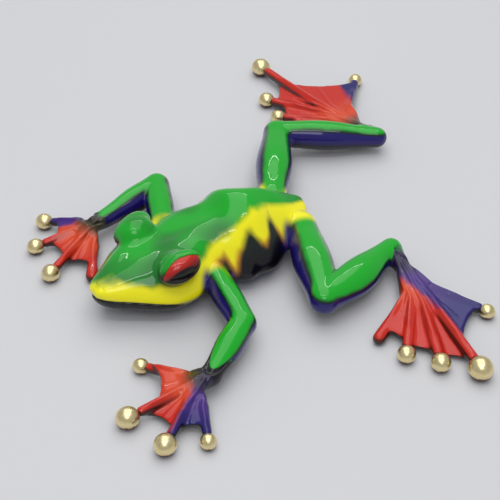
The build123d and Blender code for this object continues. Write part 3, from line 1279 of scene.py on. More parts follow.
    def owner(self, name: str) -> str:
        """The casting that a node's surface is counted with.

        Args:
            name: The node's name.

        Returns:
            The name of the casting's node.
        """
        if name.startswith("eye"):
            return "body_shell"
        if name.startswith("pad"):
            return name.removeprefix("pad_").rsplit("_", 1)[0]
        return name

    def nearest_casting(self, whole: bpy.types.Object, names: Sequence[str]) -> list[int]:
        """Which casting each face of the skin lies nearest to.

        Args:
            whole: The skin.
            names: The castings' names.

        Returns:
            For each face, where its casting's name stands among the names.
        """
        corners: list[Vector] = []
        faces: list[tuple[int, ...]] = []
        owners: list[int] = []
        for name, node in self.nodes.items():
            start = len(corners)
            corners += [vertex.co.copy() for vertex in node.data.vertices]
            faces += [tuple(start + i for i in face.vertices) for face in node.data.polygons]
            owners += [names.index(self.owner(name))] * len(node.data.polygons)
        tree = BVHTree.FromPolygons(corners, faces)
        return [owners[tree.find_nearest(face.center)[2]] for face in whole.data.polygons]

    def parted(self, whole: bpy.types.Object) -> dict[str, bpy.types.Object]:
        """Part the skin again into its castings, each closed at its joins.

        Args:
            whole: The finished skin, which is used up.

        Returns:
            The pieces by the names of their CAD nodes.
        """
        names = [name for name in self.nodes if self.owner(name) == name]
        for name in names:
            whole.data.materials.append(bpy.data.materials.new("part_" + name))
        chosen = self.nearest_casting(whole, names)
        whole.data.polygons.foreach_set("material_index", chosen)
        whole.data.polygons.foreach_set("use_smooth", [True] * len(chosen))
        normals = [vertex.normal.copy() for vertex in whole.data.vertices]
        whole.data.normals_split_custom_set_from_vertices(normals)
        work_on(whole)
        bpy.ops.object.mode_set(mode="EDIT")
        bpy.ops.mesh.select_all(action="SELECT")
        bpy.ops.mesh.separate(type="MATERIAL")
        bpy.ops.object.mode_set(mode="OBJECT")
        pieces = {}
        for piece in list(bpy.context.selected_objects):
            slot = piece.data.materials[piece.data.polygons[0].material_index]
            pieces[slot.name.removeprefix("part_")] = piece
        for name, piece in pieces.items():
            piece.name = name + "_skin"
            piece.data.name = piece.name
            piece.data.materials.clear()
            work_on(piece)
            bpy.ops.object.mode_set(mode="EDIT")
            bpy.ops.mesh.select_all(action="SELECT")
            bpy.ops.mesh.fill_holes(sides=0)
            bpy.ops.object.mode_set(mode="OBJECT")
        return pieces


@dataclass
class Eyes:
    """The two enamelled eyes.

    Attributes:
        growth: How far an eye stands proud of the frame's, in millimetres.
        rings: How many rings an eye has.
    """

    growth: float = 0.12
    rings: int = 40

    def build(self, side: Side) -> bpy.types.Object:
        """One long eye, turned to look out from under its brow.

        Args:
            side: Which eye.

        Returns:
            The eye in its place.
        """
        piece = round_start("eye_" + side.value + "_glass", self.rings, 2.0)
        half = HEAD.eye_sizes / 2 + Vector((1, 1, 1)) * self.growth
        shape = np.array(HEAD.eye_turn(side) @ Matrix.Diagonal(half))
        move_vertices(piece, (vertex_places(piece) @ shape.T + np.array(HEAD.eyes[side])) * MM)
        bpy.ops.object.shade_smooth()
        return piece


@dataclass
class Pads:
    """The polished bronze pads at the ends of the digits.

    Attributes:
        stretch: Length of a pad as a share of its diameter.
        taper: How much narrower its tip is than its root.
        sole: How far below its middle it is flat, as a share of its diameter.
        growth: How far a pad stands proud of the frame's, in millimetres.
        rings: How many rings a pad has.
    """

    stretch: float = 1.05
    taper: float = 0.07
    sole: float = 0.46
    growth: float = 0.03
    rings: int = 32

    def model(self) -> bpy.types.Object:
        """One pad of unit size, flattened underneath, with its long axis along X.

        Returns:
            The model that the pads are copied from.
        """
        piece = round_start("pad_model", self.rings, 1.0)
        places = vertex_places(piece)
        places[:, 0] *= self.stretch
        places[:, 1] *= 1 - self.taper * places[:, 0]
        places[:, 2] = np.maximum(places[:, 2], -self.sole)
        move_vertices(piece, places)
        bpy.ops.object.shade_smooth()
        return piece

    def build(self, model: bpy.types.Object, limb: Limb, digit: Digit) -> bpy.types.Object:
        """A copy of the model on one digit.

        Args:
            model: The pad of unit size.
            limb: The limb that the digit is on.
            digit: The digit.

        Returns:
            The pad in its place.
        """
        node = limb.pad_node(digit)
        low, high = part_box(node)
        along = limb.tip(digit) - limb.knuckle(digit)
        turn = Matrix.Rotation(math.atan2(along.y, along.x), 3, "Z")
        diameter = (digit.pad + 2 * self.growth) * MM
        piece = bpy.data.objects.new(node + "_polished", model.data.copy())
        bpy.context.scene.collection.objects.link(piece)
        places = vertex_places(piece) * diameter @ np.array(turn).T
        places[:, :2] += np.array((low + high).xy) / 2
        places[:, 2] += self.sole * diameter + low.z
        move_vertices(piece, places)
        return piece


@dataclass(frozen=True)
class DarkSpots:
    """Painted shade round the lower front of each eye, in the mouth's groove and in the nostrils,
    and the black of the lower jaw.

    Each pair says where the dark starts and where it is full, in millimetres.

    Attributes:
        eye: In towards an eye, its own surface being 1.
        eye_side: From above an eye to below it, its half width being 1.
        eye_slant: How much further up the dark reaches for each half length ahead.
        mouth: In towards the plane between the lips.
        mouth_run: Forward along the mouth.
        jaw: Down from that plane.
        jaw_run: Forward along the jaw.
        nostril: In towards the middle of a nostril.
        nostril_strength: How dark a nostril is, from 0 to 1.
    """

    eye: Pair = (1.5, 1.12)
    eye_side: Pair = (-0.3, 0.35)
    eye_slant: float = 0.5
    mouth: Pair = (0.62, 0.3)
    mouth_run: Pair = (-51.0, -54.5)
    jaw: Pair = (-0.1, -0.5)
    jaw_run: Pair = (-48.0, -54.0)
    nostril: Pair = (0.8, 0.3)
    nostril_strength: float = 0.8

    def at(self, places: np.ndarray) -> np.ndarray:
        """How dark the paint is.

        Args:
            places: The places, in millimetres.

        Returns:
            For each place a number from 0 to 1.
        """
        dark = np.zeros(len(places))
        for side in Side:
            seen = HEAD.in_eye(places, side)
            ring = ramp(np.linalg.norm(seen, axis=1), *self.eye)
            below = self.eye_slant * seen[:, 0] - seen[:, 1]
            dark = np.maximum(dark, ring * ramp(below, *self.eye_side))
        high = HEAD.above_lip(places)
        line = ramp(abs(high), *self.mouth) * ramp(places[:, 1], *self.mouth_run)
        jaw = ramp(high, *self.jaw) * ramp(places[:, 1], *self.jaw_run)
        dark = np.maximum(dark, np.maximum(line, jaw))
        for nostril in HEAD.nostrils:
            spot = ramp(distance(places, nostril), *self.nostril)
            dark = np.maximum(dark, self.nostril_strength * spot)
        return dark


@dataclass(frozen=True)
class Airbrush:
    """Where the sprayed colours meet, in millimetres.

    Attributes:
        crown: Height of the green's edge at places along the body.
        flank: Height of the dark belly's edge, with its fingers, along the body.
        flank_step: How finely that edge is worked out.
        flank_blur: How far its fingers are rounded, and how far that reaches.
        flank_slope: The steepest slope of that edge that is reckoned with.
        far_drop: How much lower the green's edge lies on the frog's right.
        far_run: Where it starts to drop and has dropped, from the lip's middle across.
        roots: How far past a limb's root its own colours start and are full.
        limb_reach: How near a limb's axis they do so on the body, in girths.
        arm_reach: How far from the root they do so all round, in girths.
        bend_blend: How far the colours of a limb's two stretches reach past its bend.
        dark_spots: The dark on the head.
    """

    crown: tuple[Pair, ...] = (
        (-80, 17.2),
        (-74, 17.9),
        (-70, 18.4),
        (-61, 16.8),
        (-50, 17.0),
        (-36, 18.8),
        (-23, 22.5),
        (-10.6, 26.6),
        (-3.6, 24.1),
        (9.4, 18.5),
        (20, 16.0),
    )
    flank: tuple[Pair, ...] = (
        (-80, 12.4),
        (-50, 9.2),
        (-43, 9.8),
        (-37, 13.2),
        (-30, 15.0),
        (-28, 15.4),
        (-26.3, 9.8),
        (-25.2, 9.6),
        (-22.4, 15.8),
        (-18.6, 18.9),
        (-16.0, 20.9),
        (-14.4, 20.9),
        (-12.4, 17.0),
        (-10.2, 14.9),
        (-7.4, 16.6),
        (-5.4, 20.4),
        (-3.4, 20.4),
        (-2.3, 16.0),
        (-0.8, 9.4),
        (4.0, 9.0),
        (20, 11.0),
    )
    flank_step: float = 0.1
    flank_blur: Pair = (0.7, 2.0)
    flank_slope: float = 3.0
    far_drop: float = 3.2
    far_run: Pair = (1.0, -5.0)
    roots: Pair = (0.0, 5.0)
    limb_reach: Pair = (0.86, 0.56)
    arm_reach: Pair = (2.0, 2.5)
    bend_blend: float = 2.5
    dark_spots: DarkSpots = DarkSpots()

    def store(self, piece: bpy.types.Object, name: str, values: np.ndarray) -> None:
        """Keep one number for each vertex of a piece."""
        layer = piece.data.attributes.new(name, "FLOAT", "POINT")
        layer.data.foreach_set("value", values.astype(np.float32))

    def past_root(self, places: np.ndarray, limb: Limb) -> np.ndarray:
        """How far the limb's own colours have come up, going out from the body."""
        line = (limb.bend - limb.root).normalized()
        return ramp((places - np.array(limb.root)) @ np.array(line), *self.roots)

    def on_limb(self, places: np.ndarray, limb: Limb) -> np.ndarray:
        """How much each place on the body has a limb's own colours.

        Args:
            places: The places, in millimetres.
            limb: The limb.

        Returns:
            For each place a number from 0 to 1.
        """
        _, off = beside_line(places, limb.root, limb.bend)
        away = np.linalg.norm(off, axis=1) / limb.girth
        return ramp(away, *self.limb_reach) * self.past_root(places, limb)

    def level_edge(self, places: np.ndarray, limb: Limb) -> np.ndarray:
        """How level the surface is where green ends.

        Args:
            places: The places on a limb, in millimetres.
            limb: The limb.

        Returns:
            For each place the upward part of the normal at the edge, or more than 1.
        """
        least = []
        edges = []
        stretches = ((limb.root, limb.bend), (limb.bend, limb.end))
        # Painted shade: on the side that each stretch's way points to, green ends higher up, so
        # that side is darker.
        for (first, last), edge, shade in zip(stretches, limb.edges, limb.painted_shade_sides):
            _, off = beside_line(places, first, last)
            least.append(np.linalg.norm(off, axis=1))
            edges.append(edge + np.clip(off @ np.array(shade) * 2 / limb.girth, 0, 1))
        second = ramp(least[0] - least[1], -self.bend_blend, self.bend_blend)
        return edges[0] + (edges[1] - edges[0]) * second

    def rounded(self, row: np.ndarray) -> np.ndarray:
        """Round off a row of numbers, one for each step along the flank.

        Args:
            row: The numbers.

        Returns:
            As many rounded numbers.
        """
        blur, spread = self.flank_blur
        margin = round(spread / self.flank_step)
        bell = np.exp(-((np.arange(-margin, margin + 1) * self.flank_step / blur) ** 2))
        return np.convolve(np.pad(row, margin, mode="edge"), bell / bell.sum(), "valid")

    def below_flank(self, places: np.ndarray) -> np.ndarray:
        """How far each place lies inside the dark belly.

        Args:
            places: The places, in millimetres.

        Returns:
            For each place the distance from the edge, in millimetres.
        """
        start, stop = self.flank[0][0], self.flank[-1][0]
        along = np.linspace(start, stop, round((stop - start) / self.flank_step) + 1)
        heights = self.rounded(np.interp(along, *zip(*self.flank)))
        steepness = self.rounded(np.gradient(heights, along) ** 2)
        narrow = 1 / np.sqrt(1 + np.clip(steepness, 0, self.flank_slope**2))
        below = np.interp(places[:, 1], along, heights) - places[:, 2]
        return below * np.interp(places[:, 1], along, narrow)

    def spray_body(self, piece: bpy.types.Object) -> None:
        """Work out where the body's colours run into the limbs'.

        Args:
            piece: The body's casting, or the plate under it.
        """
        places = self.spray_skin(piece)
        shares = np.array([self.on_limb(places, limb) for limb in LIMBS])
        edges = np.array([self.level_edge(places, limb) for limb in LIMBS])
        self.store(piece, "limb", shares.max(axis=0))
        self.store(piece, "edge", edges[shares.argmax(axis=0), np.arange(len(places))])

    def spray_arm(self, piece: bpy.types.Object, limb: Limb) -> None:
        """Work out where the colours of an arm or leg lie.

        Args:
            piece: The casting.
            limb: The limb.
        """
        places = self.spray_skin(piece)
        away = ramp(distance(places, limb.root) / limb.girth, *self.arm_reach)
        self.store(piece, "limb", np.maximum(self.past_root(places, limb), away))
        self.store(piece, "edge", self.level_edge(places, limb))

    def spray_hand(self, piece: bpy.types.Object, limb: Limb) -> None:
        """Work out where the colours of a hand or foot lie.

        Args:
            piece: The casting.
            limb: The limb that it is on.
        """
        places = self.spray_skin(piece)
        off = places - np.array(limb.end)
        self.store(piece, "limb", np.ones(len(places)))
        self.store(piece, "edge", self.level_edge(places, limb))
        self.store(piece, "away", np.linalg.norm(off, axis=1) / limb.fade_reach)
        self.store(piece, "lateral", off @ np.array(limb.indigo_way()) - limb.indigo_shift)

    def spray_skin(self, piece: bpy.types.Object) -> np.ndarray:
        """Work out where the body's own colours lie on a casting.

        Args:
            piece: The casting.

        Returns:
            The places of its vertices, in millimetres.
        """
        places = vertex_places(piece) / MM
        edge = np.interp(places[:, 1], *zip(*self.crown))
        edge -= self.far_drop * ramp(places[:, 0] - HEAD.lip.x, *self.far_run)
        self.store(piece, "crown", places[:, 2] - edge)
        self.store(piece, "belly", self.below_flank(places))
        self.store(piece, "shade", self.dark_spots.at(places))
        return places


@dataclass(frozen=True)
class SkinSpray:
    """How the body's colours run into each other.

    Each pair says where a colour starts and where it is full, in millimetres.

    Attributes:
        cloud: What makes the edges uneven.
        mottle: The clouds of deeper green.
        mottled: Where deeper green starts and is full, from 0 to 1 in those clouds.
        warm: Orange, down to the dark belly's edge.
        warm_low: Orange, downwards.
        warm_behind: Orange, backwards.
        dark: The dark belly, in from its edge.
        bottle_green: Bottle green in the dark, upwards.
        indigo: Indigo in the dark, downwards.
        green: Green, up from its edge.
    """

    cloud: Cloud = Cloud(0.16, 2.0, swing=1.8)
    mottle: Cloud = Cloud(0.05, 1.0)
    mottled: Pair = (0.4, 0.7)
    warm: Pair = (-3.2, 0.2)
    warm_low: Pair = (19.5, 14.5)
    warm_behind: Pair = (-40.0, -32.0)
    dark: Pair = (-1.9, 1.5)
    bottle_green: Pair = (12.0, 19.0)
    indigo: Pair = (6.4, 4.6)
    green: Pair = (-1.4, 1.3)

    def group(self) -> bpy.types.NodeTree:
        """The back's green, the flank's yellow with its fingers, and the dark belly.

        Returns:
            The node group.
        """
        desk, inputs, leave = new_group(
            "Painted skin",
            {"Place": "Vector", "Crown": "Float", "Belly": "Float"},
            {"Color": "Color"},
        )
        place = inputs["Place"]
        uneven = desk.swung(desk.noise(place, self.cloud), self.cloud.swing)
        crown = desk.math("ADD", inputs["Crown"], uneven)
        belly = desk.math("SUBTRACT", inputs["Belly"], uneven)
        height = desk.part(place, 2)
        behind = desk.fade(desk.part(place, 1), self.warm_behind)
        low = desk.math("MULTIPLY", desk.fade(height, self.warm_low), behind)
        warm = desk.math("MULTIPLY", desk.fade(belly, self.warm), low)
        band = desk.blend(warm, PAINTS.yellow, PAINTS.orange)
        upper = desk.fade(height, self.bottle_green)
        dark = desk.blend(upper, PAINTS.black, PAINTS.bottle_green)
        dark = desk.blend(desk.fade(height, self.indigo), dark, PAINTS.indigo)
        tone = desk.blend(desk.fade(belly, self.dark), band, dark)
        mottled = desk.fade(desk.noise(place, self.mottle), self.mottled)
        green = desk.blend(mottled, PAINTS.green, PAINTS.deep_green)
        tone = desk.blend(desk.fade(crown, self.green), tone, green)
        desk.feed(leave.inputs["Color"], tone)
        return desk.tree


@dataclass(frozen=True)
class LimbSpray:
    """How a limb's colours run into each other as its surface turns down.

    Each pair is how much more level than the green's edge the surface is where a colour
    starts and where it is full.

    Attributes:
        cloud: What makes the edges uneven.
        indigo: Indigo, up from black.
        teal: Dark teal, up from indigo.
        green: Green, up from teal.
    """

    cloud: Cloud = Cloud(0.14, 2.0, swing=0.22)
    indigo: Pair = (-1.4, -0.9)
    teal: Pair = (-0.36, -0.16)
    green: Pair = (-0.2, 0.1)

    def group(self) -> bpy.types.NodeTree:
        """Green on top of a limb, through indigo to black underneath.

        Returns:
            The node group.
        """
        desk, inputs, leave = new_group(
            "Limb spray", {"Place": "Vector", "Lean": "Float"}, {"Color": "Color"}
        )
        uneven = desk.swung(desk.noise(inputs["Place"], self.cloud), self.cloud.swing)
        lean = desk.math("ADD", inputs["Lean"], uneven)
        tone = desk.blend(desk.fade(lean, self.indigo), PAINTS.black, PAINTS.indigo)
        tone = desk.blend(desk.fade(lean, self.teal), tone, PAINTS.teal)
        tone = desk.blend(desk.fade(lean, self.green), tone, PAINTS.green)
        desk.feed(leave.inputs["Color"], tone)
        return desk.tree


@dataclass(frozen=True)
class WebSpray:
    """How a hand's or foot's colours run into each other.

    Each pair says where a colour starts and where it is full. "Out" is from the wrist, in
    reaches of the limb's fade; "down" is as the surface turns down; "across" is over the
    line between red and indigo, in millimetres.

    Attributes:
        cloud: What makes the edges uneven, with its swing across.
        swing_out: How far it moves an edge out.
        red: The full red, out.
        red_painted_shade: Maroon in the red, down, as painted shade on the sides of the folds.
        indigo: Indigo, out.
        indigo_painted_shade: Black in the indigo, down, as painted shade on the sides of the
            folds.
        line: From red to indigo, across.
        heel_line: From olive to violet at the heel, across.
        fan: From the heel's colours to the fan's, out.
        start: From the limb's colours to the heel's, out.
        under: Black, down.
    """

    cloud: Cloud = Cloud(0.2, 3.0, swing=3.0)
    swing_out: float = 0.3
    red: Pair = (1.1, 2.0)
    red_painted_shade: Pair = (0.8, 0.35)
    indigo: Pair = (1.0, 2.2)
    indigo_painted_shade: Pair = (0.75, 0.3)
    line: Pair = (-1.6, 1.6)
    heel_line: Pair = (-5.0, 3.0)
    fan: Pair = (0.6, 1.15)
    start: Pair = (0.1, 0.42)
    under: Pair = (0.15, -0.2)

    def group(self) -> bpy.types.NodeTree:
        """The fan of colours from the wrist or ankle out over the web.

        Returns:
            The node group.
        """
        desk, inputs, leave = new_group(
            "Web spray",
            {
                "Place": "Vector",
                "Lean": "Float",
                "Base": "Color",
                "Away": "Float",
                "Lateral": "Float",
            },
            {"Color": "Color"},
        )
        lean = inputs["Lean"]
        noise = desk.noise(inputs["Place"], self.cloud)
        out = desk.math("ADD", inputs["Away"], desk.swung(noise, self.swing_out))
        across = desk.math("ADD", inputs["Lateral"], desk.swung(noise, self.cloud.swing))
        red = desk.blend(desk.fade(out, self.red), PAINTS.red_orange, PAINTS.red)
        # Painted shade: the red and the indigo darken as the surface turns down, on the sides of
        # the folds.
        red = desk.blend(desk.fade(lean, self.red_painted_shade), red, PAINTS.maroon)
        purple = desk.blend(desk.fade(out, self.indigo), PAINTS.violet, PAINTS.indigo)
        purple = desk.blend(desk.fade(lean, self.indigo_painted_shade), purple, PAINTS.black)
        fan = desk.blend(desk.fade(across, self.line), red, purple)
        heel = desk.blend(desk.fade(across, self.heel_line), PAINTS.olive, PAINTS.heel_violet)
        tone = desk.blend(desk.fade(out, self.fan), heel, fan)
        tone = desk.blend(desk.fade(out, self.start), inputs["Base"], tone)
        tone = desk.blend(desk.fade(lean, self.under), tone, PAINTS.black)
        desk.feed(leave.inputs["Color"], tone)
        return desk.tree


@dataclass(frozen=True)
class Ripples:
    """The long ripples and the fine grain of a poured finish.

    Attributes:
        slow: The long ripples.
        quick: The fine grain.
    """

    slow: Cloud = Cloud(0.28, 2.0)
    quick: Cloud = Cloud(1.9, 3.0)

    def group(self) -> bpy.types.NodeTree:
        """The finish's height, and its grain by itself.

        Returns:
            The node group.
        """
        desk, inputs, leave = new_group(
            "Poured finish",
            {"Place": "Vector", "Long": "Float", "Fine": "Float"},
            {"Height": "Float", "Grain": "Float"},
        )
        slow = desk.noise(inputs["Place"], self.slow)
        quick = desk.noise(inputs["Place"], self.quick)
        height = desk.math("MULTIPLY", slow, inputs["Long"])
        height = desk.math("ADD", height, desk.math("MULTIPLY", quick, inputs["Fine"]))
        desk.feed(leave.inputs["Height"], height)
        desk.feed(leave.inputs["Grain"], quick)
        return desk.tree


@dataclass(frozen=True)
class Relief:
    """How strongly a finish shows its ripples and its grain.

    Attributes:
        long: Share of the long ripples.
        fine: Share of the fine grain.
        strength: Strength of the relief.
        height: Height of the relief, in millimetres.
        roughness: Roughness without the grain.
        grain: How much rougher the grain makes it, at most.
    """

    long: float
    fine: float
    strength: float
    height: float
    roughness: float
    grain: float


@dataclass(frozen=True)
class Enamel:
    """Airbrushed enamel under clear lacquer.

    Attributes:
        relief: Its ripples and grain.
        bending: How strongly the enamel bends light.
        sheen: How strongly the enamel itself shines.
        lacquer_bending: How strongly the lacquer bends light.
        lacquer: Roughness of the lacquer.
    """

    relief: Relief = Relief(
        long=0.7, fine=0.1, strength=0.25, height=0.06, roughness=0.3, grain=0.1
    )
    bending: float = 1.5
    sheen: float = 0.12
    lacquer_bending: float = 1.42
    lacquer: float = 0.03


@dataclass(frozen=True)
class EyePaint:
    """Dark red enamel with a black pupil, with painted light at the top and painted shade at the
    bottom, in half sizes of the eye.

    Attributes:
        cloud: What makes the red uneven.
        light: Where the red starts to lighten, going up, and where it is lightest: painted light
            over painted shade.
        pupil: How far ahead and how far up the pupil's middle lies.
        squeeze: How many times smaller than the eye the pupil is, along and across.
        pupil_edge: Where the pupil starts and is full, as squares of its own size.
    """

    cloud: Cloud = Cloud(0.35, 2.0, swing=0.3)
    light: Pair = (-0.5, 0.6)
    pupil: Pair = (0.22, -0.42)
    squeeze: Pair = (1.1, 2.1)
    pupil_edge: Pair = (1.0, 0.45)


@dataclass(frozen=True)
class Bronze:
    """Bare bronze polished bright on top, with enamel left underneath; the enamel is partly real
    and partly painted reflection of dark surroundings on the lower rims.

    Attributes:
        relief: Its ripples and grain.
        cloud: What makes the edge of the enamel uneven.
        bare: How level the surface is where bronze starts and where it is bare; the enamel below
            reaches high enough to stand as painted reflection on the lower rims too.
        tarnish: The clouds of deeper gold.
    """

    relief: Relief = Relief(
        long=0.6, fine=0.5, strength=0.4, height=0.1, roughness=0.2, grain=0.2
    )
    cloud: Cloud = Cloud(0.55, 3.0, swing=0.5)
    bare: Pair = (-0.34, -0.12)
    tarnish: Cloud = Cloud(0.8, 4.0)


class Sheet:
    """A material in the making.

    Attributes:
        material: The material.
        desk: The wiring of its nodes.
        shader: Its shader.
        metres: The place on the piece, in metres.
        place: The place on the piece, in millimetres.
        lean: How level the surface is, from 1 facing up to -1 facing down.
    """

    def __init__(self, name: str) -> None:
        """Start a material with a shader, the place on it and how level it is.

        Args:
            name: The material's name.
        """
        self.material = bpy.data.materials.new(name)
        self.material.use_nodes = True
        self.desk = Wiring(self.material.node_tree)
        self.shader = self.material.node_tree.nodes["Principled BSDF"]
        self.metres = self.desk.add("TexCoord").outputs["Object"]
        self.place = self.desk.scaled(self.metres, 1 / MM)
        self.lean = self.desk.part(self.desk.add("NewGeometry").outputs["Normal"], 2)

    def give(self, name: str, value: object) -> None:
        """Feed an input of the shader, or set it."""
        self.desk.feed(self.shader.inputs[name], value)

    def kept(self, name: str) -> Socket:
        """A number kept with the mesh."""
        return self.desk.add("Attribute", attribute_name=name).outputs["Fac"]


class Finishes:
    """The materials of every piece and the node groups that they share."""

    def __init__(self, enamel: Enamel, eye: EyePaint, bronze: Bronze) -> None:
        """Keep the finishes and build the shared groups.

        Args:
            enamel: The enamel of the castings and the eyes.
            eye: The colours of an eye.
            bronze: The pads' finish.
        """
        self.enamel = enamel
        self.eye_paint = eye
        self.bare_bronze = bronze
        self.skin = SkinSpray().group()
        self.limb = LimbSpray().group()
        self.web = WebSpray().group()
        self.ripples = Ripples().group()

    def pour(self, sheet: Sheet, relief: Relief) -> None:
        """Give a material its ripples and its roughness.

        Args:
            sheet: The material in the making.
            relief: How strongly they show.
        """
        desk = sheet.desk
        finish = desk.group(self.ripples, Place=sheet.place, Long=relief.long, Fine=relief.fine)
        bump = desk.add("Bump")
        bump.inputs["Strength"].default_value = relief.strength
        bump.inputs["Distance"].default_value = relief.height * MM
        desk.feed(bump.inputs["Height"], finish.outputs["Height"])
        sheet.give("Normal", bump.outputs[0])
        grain = finish.outputs["Grain"]
        sheet.give("Roughness", desk.math("MULTIPLY_ADD", grain, relief.grain, relief.roughness))

    def lacquered(self, name: str, tint: Callable[[Sheet], Socket]) -> bpy.types.Material:
        """An enamelled material with its colour from a function.

        Args:
            name: The material's name.
            tint: Gives the colour on the material in the making.

        Returns:
            The finished material.
        """
        sheet = Sheet(name)
        self.pour(sheet, self.enamel.relief)
        sheet.give("Base Color", tint(sheet))
        sheet.give("IOR", self.enamel.bending)
        sheet.give("Specular IOR Level", self.enamel.sheen)
        sheet.give("Coat Weight", 1.0)
        sheet.give("Coat IOR", self.enamel.lacquer_bending)
        sheet.give("Coat Roughness", self.enamel.lacquer)
        return sheet.material

    def body_tint(self, sheet: Sheet) -> Socket:
        """The body's colours, running into the limbs' at their roots.

        Args:
            sheet: The material in the making.

        Returns:
            The colour.
        """
        desk = sheet.desk
        place = sheet.place
        crown = sheet.kept("crown")
        skin = desk.group(self.skin, Place=place, Crown=crown, Belly=sheet.kept("belly"))
        past = desk.math("SUBTRACT", sheet.lean, sheet.kept("edge"))
        limb = desk.group(self.limb, Place=place, Lean=past)
        tone = desk.blend(sheet.kept("limb"), skin.outputs[0], limb.outputs[0])
        # Painted shade round the eyes, in the mouth and in the nostrils, and the black of the
        # lower jaw.
        return desk.blend(sheet.kept("shade"), tone, PAINTS.black)

    def web_tint(self, sheet: Sheet) -> Socket:
        """The limb's colours, running out into the fan of a hand or foot.

        Args:
            sheet: The material in the making.

        Returns:
            The colour.
        """
        fan = sheet.desk.group(
            self.web,
            Place=sheet.place,
            Lean=sheet.lean,
            Base=self.body_tint(sheet),
            Away=sheet.kept("away"),
            Lateral=sheet.kept("lateral"),
        )
        return fan.outputs[0]

    def eye_tint(self, sheet: Sheet, side: Side) -> Socket:
        """The red of an eye with its painted light and shade, and its pupil.

        Args:
            sheet: The material in the making.
            side: Which eye.

        Returns:
            The colour.
        """
        desk = sheet.desk
        paint = self.eye_paint
        half = HEAD.eye_sizes / 2
        along, across, _ = HEAD.eye_axes(side)
        off = desk.vector("SUBTRACT", sheet.place, tuple(HEAD.eyes[side]))
        ahead = desk.dot(off, tuple(along / half.x))
        up = desk.dot(off, tuple(across / half.y))
        uneven = desk.swung(desk.noise(sheet.place, paint.cloud), paint.cloud.swing)
        # Painted light and shade: the eye's red is darker at the bottom and lighter at the top.
        light = desk.fade(desk.math("ADD", up, uneven), paint.light)
        red = desk.blend(light, PAINTS.eye_shadow, PAINTS.eye_light)
        squares = []
        for share, middle, squeeze in zip((ahead, up), paint.pupil, paint.squeeze):
            from_middle = desk.math("MULTIPLY", desk.math("SUBTRACT", share, middle), squeeze)
            squares.append(desk.math("MULTIPLY", from_middle, from_middle))
        pupil = desk.fade(desk.math("ADD", *squares), paint.pupil_edge)
        return desk.blend(pupil, red, PAINTS.pupil)

    def eye(self, side: Side) -> bpy.types.Material:
        """The finished material of one eye."""
        name = "eye_enamel_" + side.value
        return self.lacquered(name, lambda sheet: self.eye_tint(sheet, side))

    def bronze(self) -> bpy.types.Material:
        """The pads' material.

        Returns:
            The finished material.
        """
        sheet = Sheet("polished_pads")
        desk = sheet.desk
        metal = self.bare_bronze
        uneven = desk.swung(desk.noise(sheet.place, metal.cloud), metal.cloud.swing)
        # Enamel underneath, partly real and partly painted reflection of the dark lower rims.
        bare = desk.fade(desk.math("ADD", sheet.lean, uneven), metal.bare)
        tarnish = desk.noise(sheet.place, metal.tarnish)
        gold = desk.blend(tarnish, PAINTS.pale_gold, PAINTS.gold)
        sheet.give("Base Color", desk.blend(bare, PAINTS.maroon, gold))
        sheet.give("Metallic", bare)
        self.pour(sheet, metal.relief)
        return sheet.material


@dataclass(frozen=True)
class Lamp:
    """A rectangular lamp that faces the frog.

    Attributes:
        name: Its name.
        lean: How far it hangs from overhead towards the camera, in degrees.
        distance: How far away it hangs, in metres.
        depth: Its size along the camera's line, in metres.
        width: Its size across that line, in metres.
        radiance: How bright its face is.
    """

    name: str
    lean: float
    distance: float
    depth: float
    width: float
    radiance: float


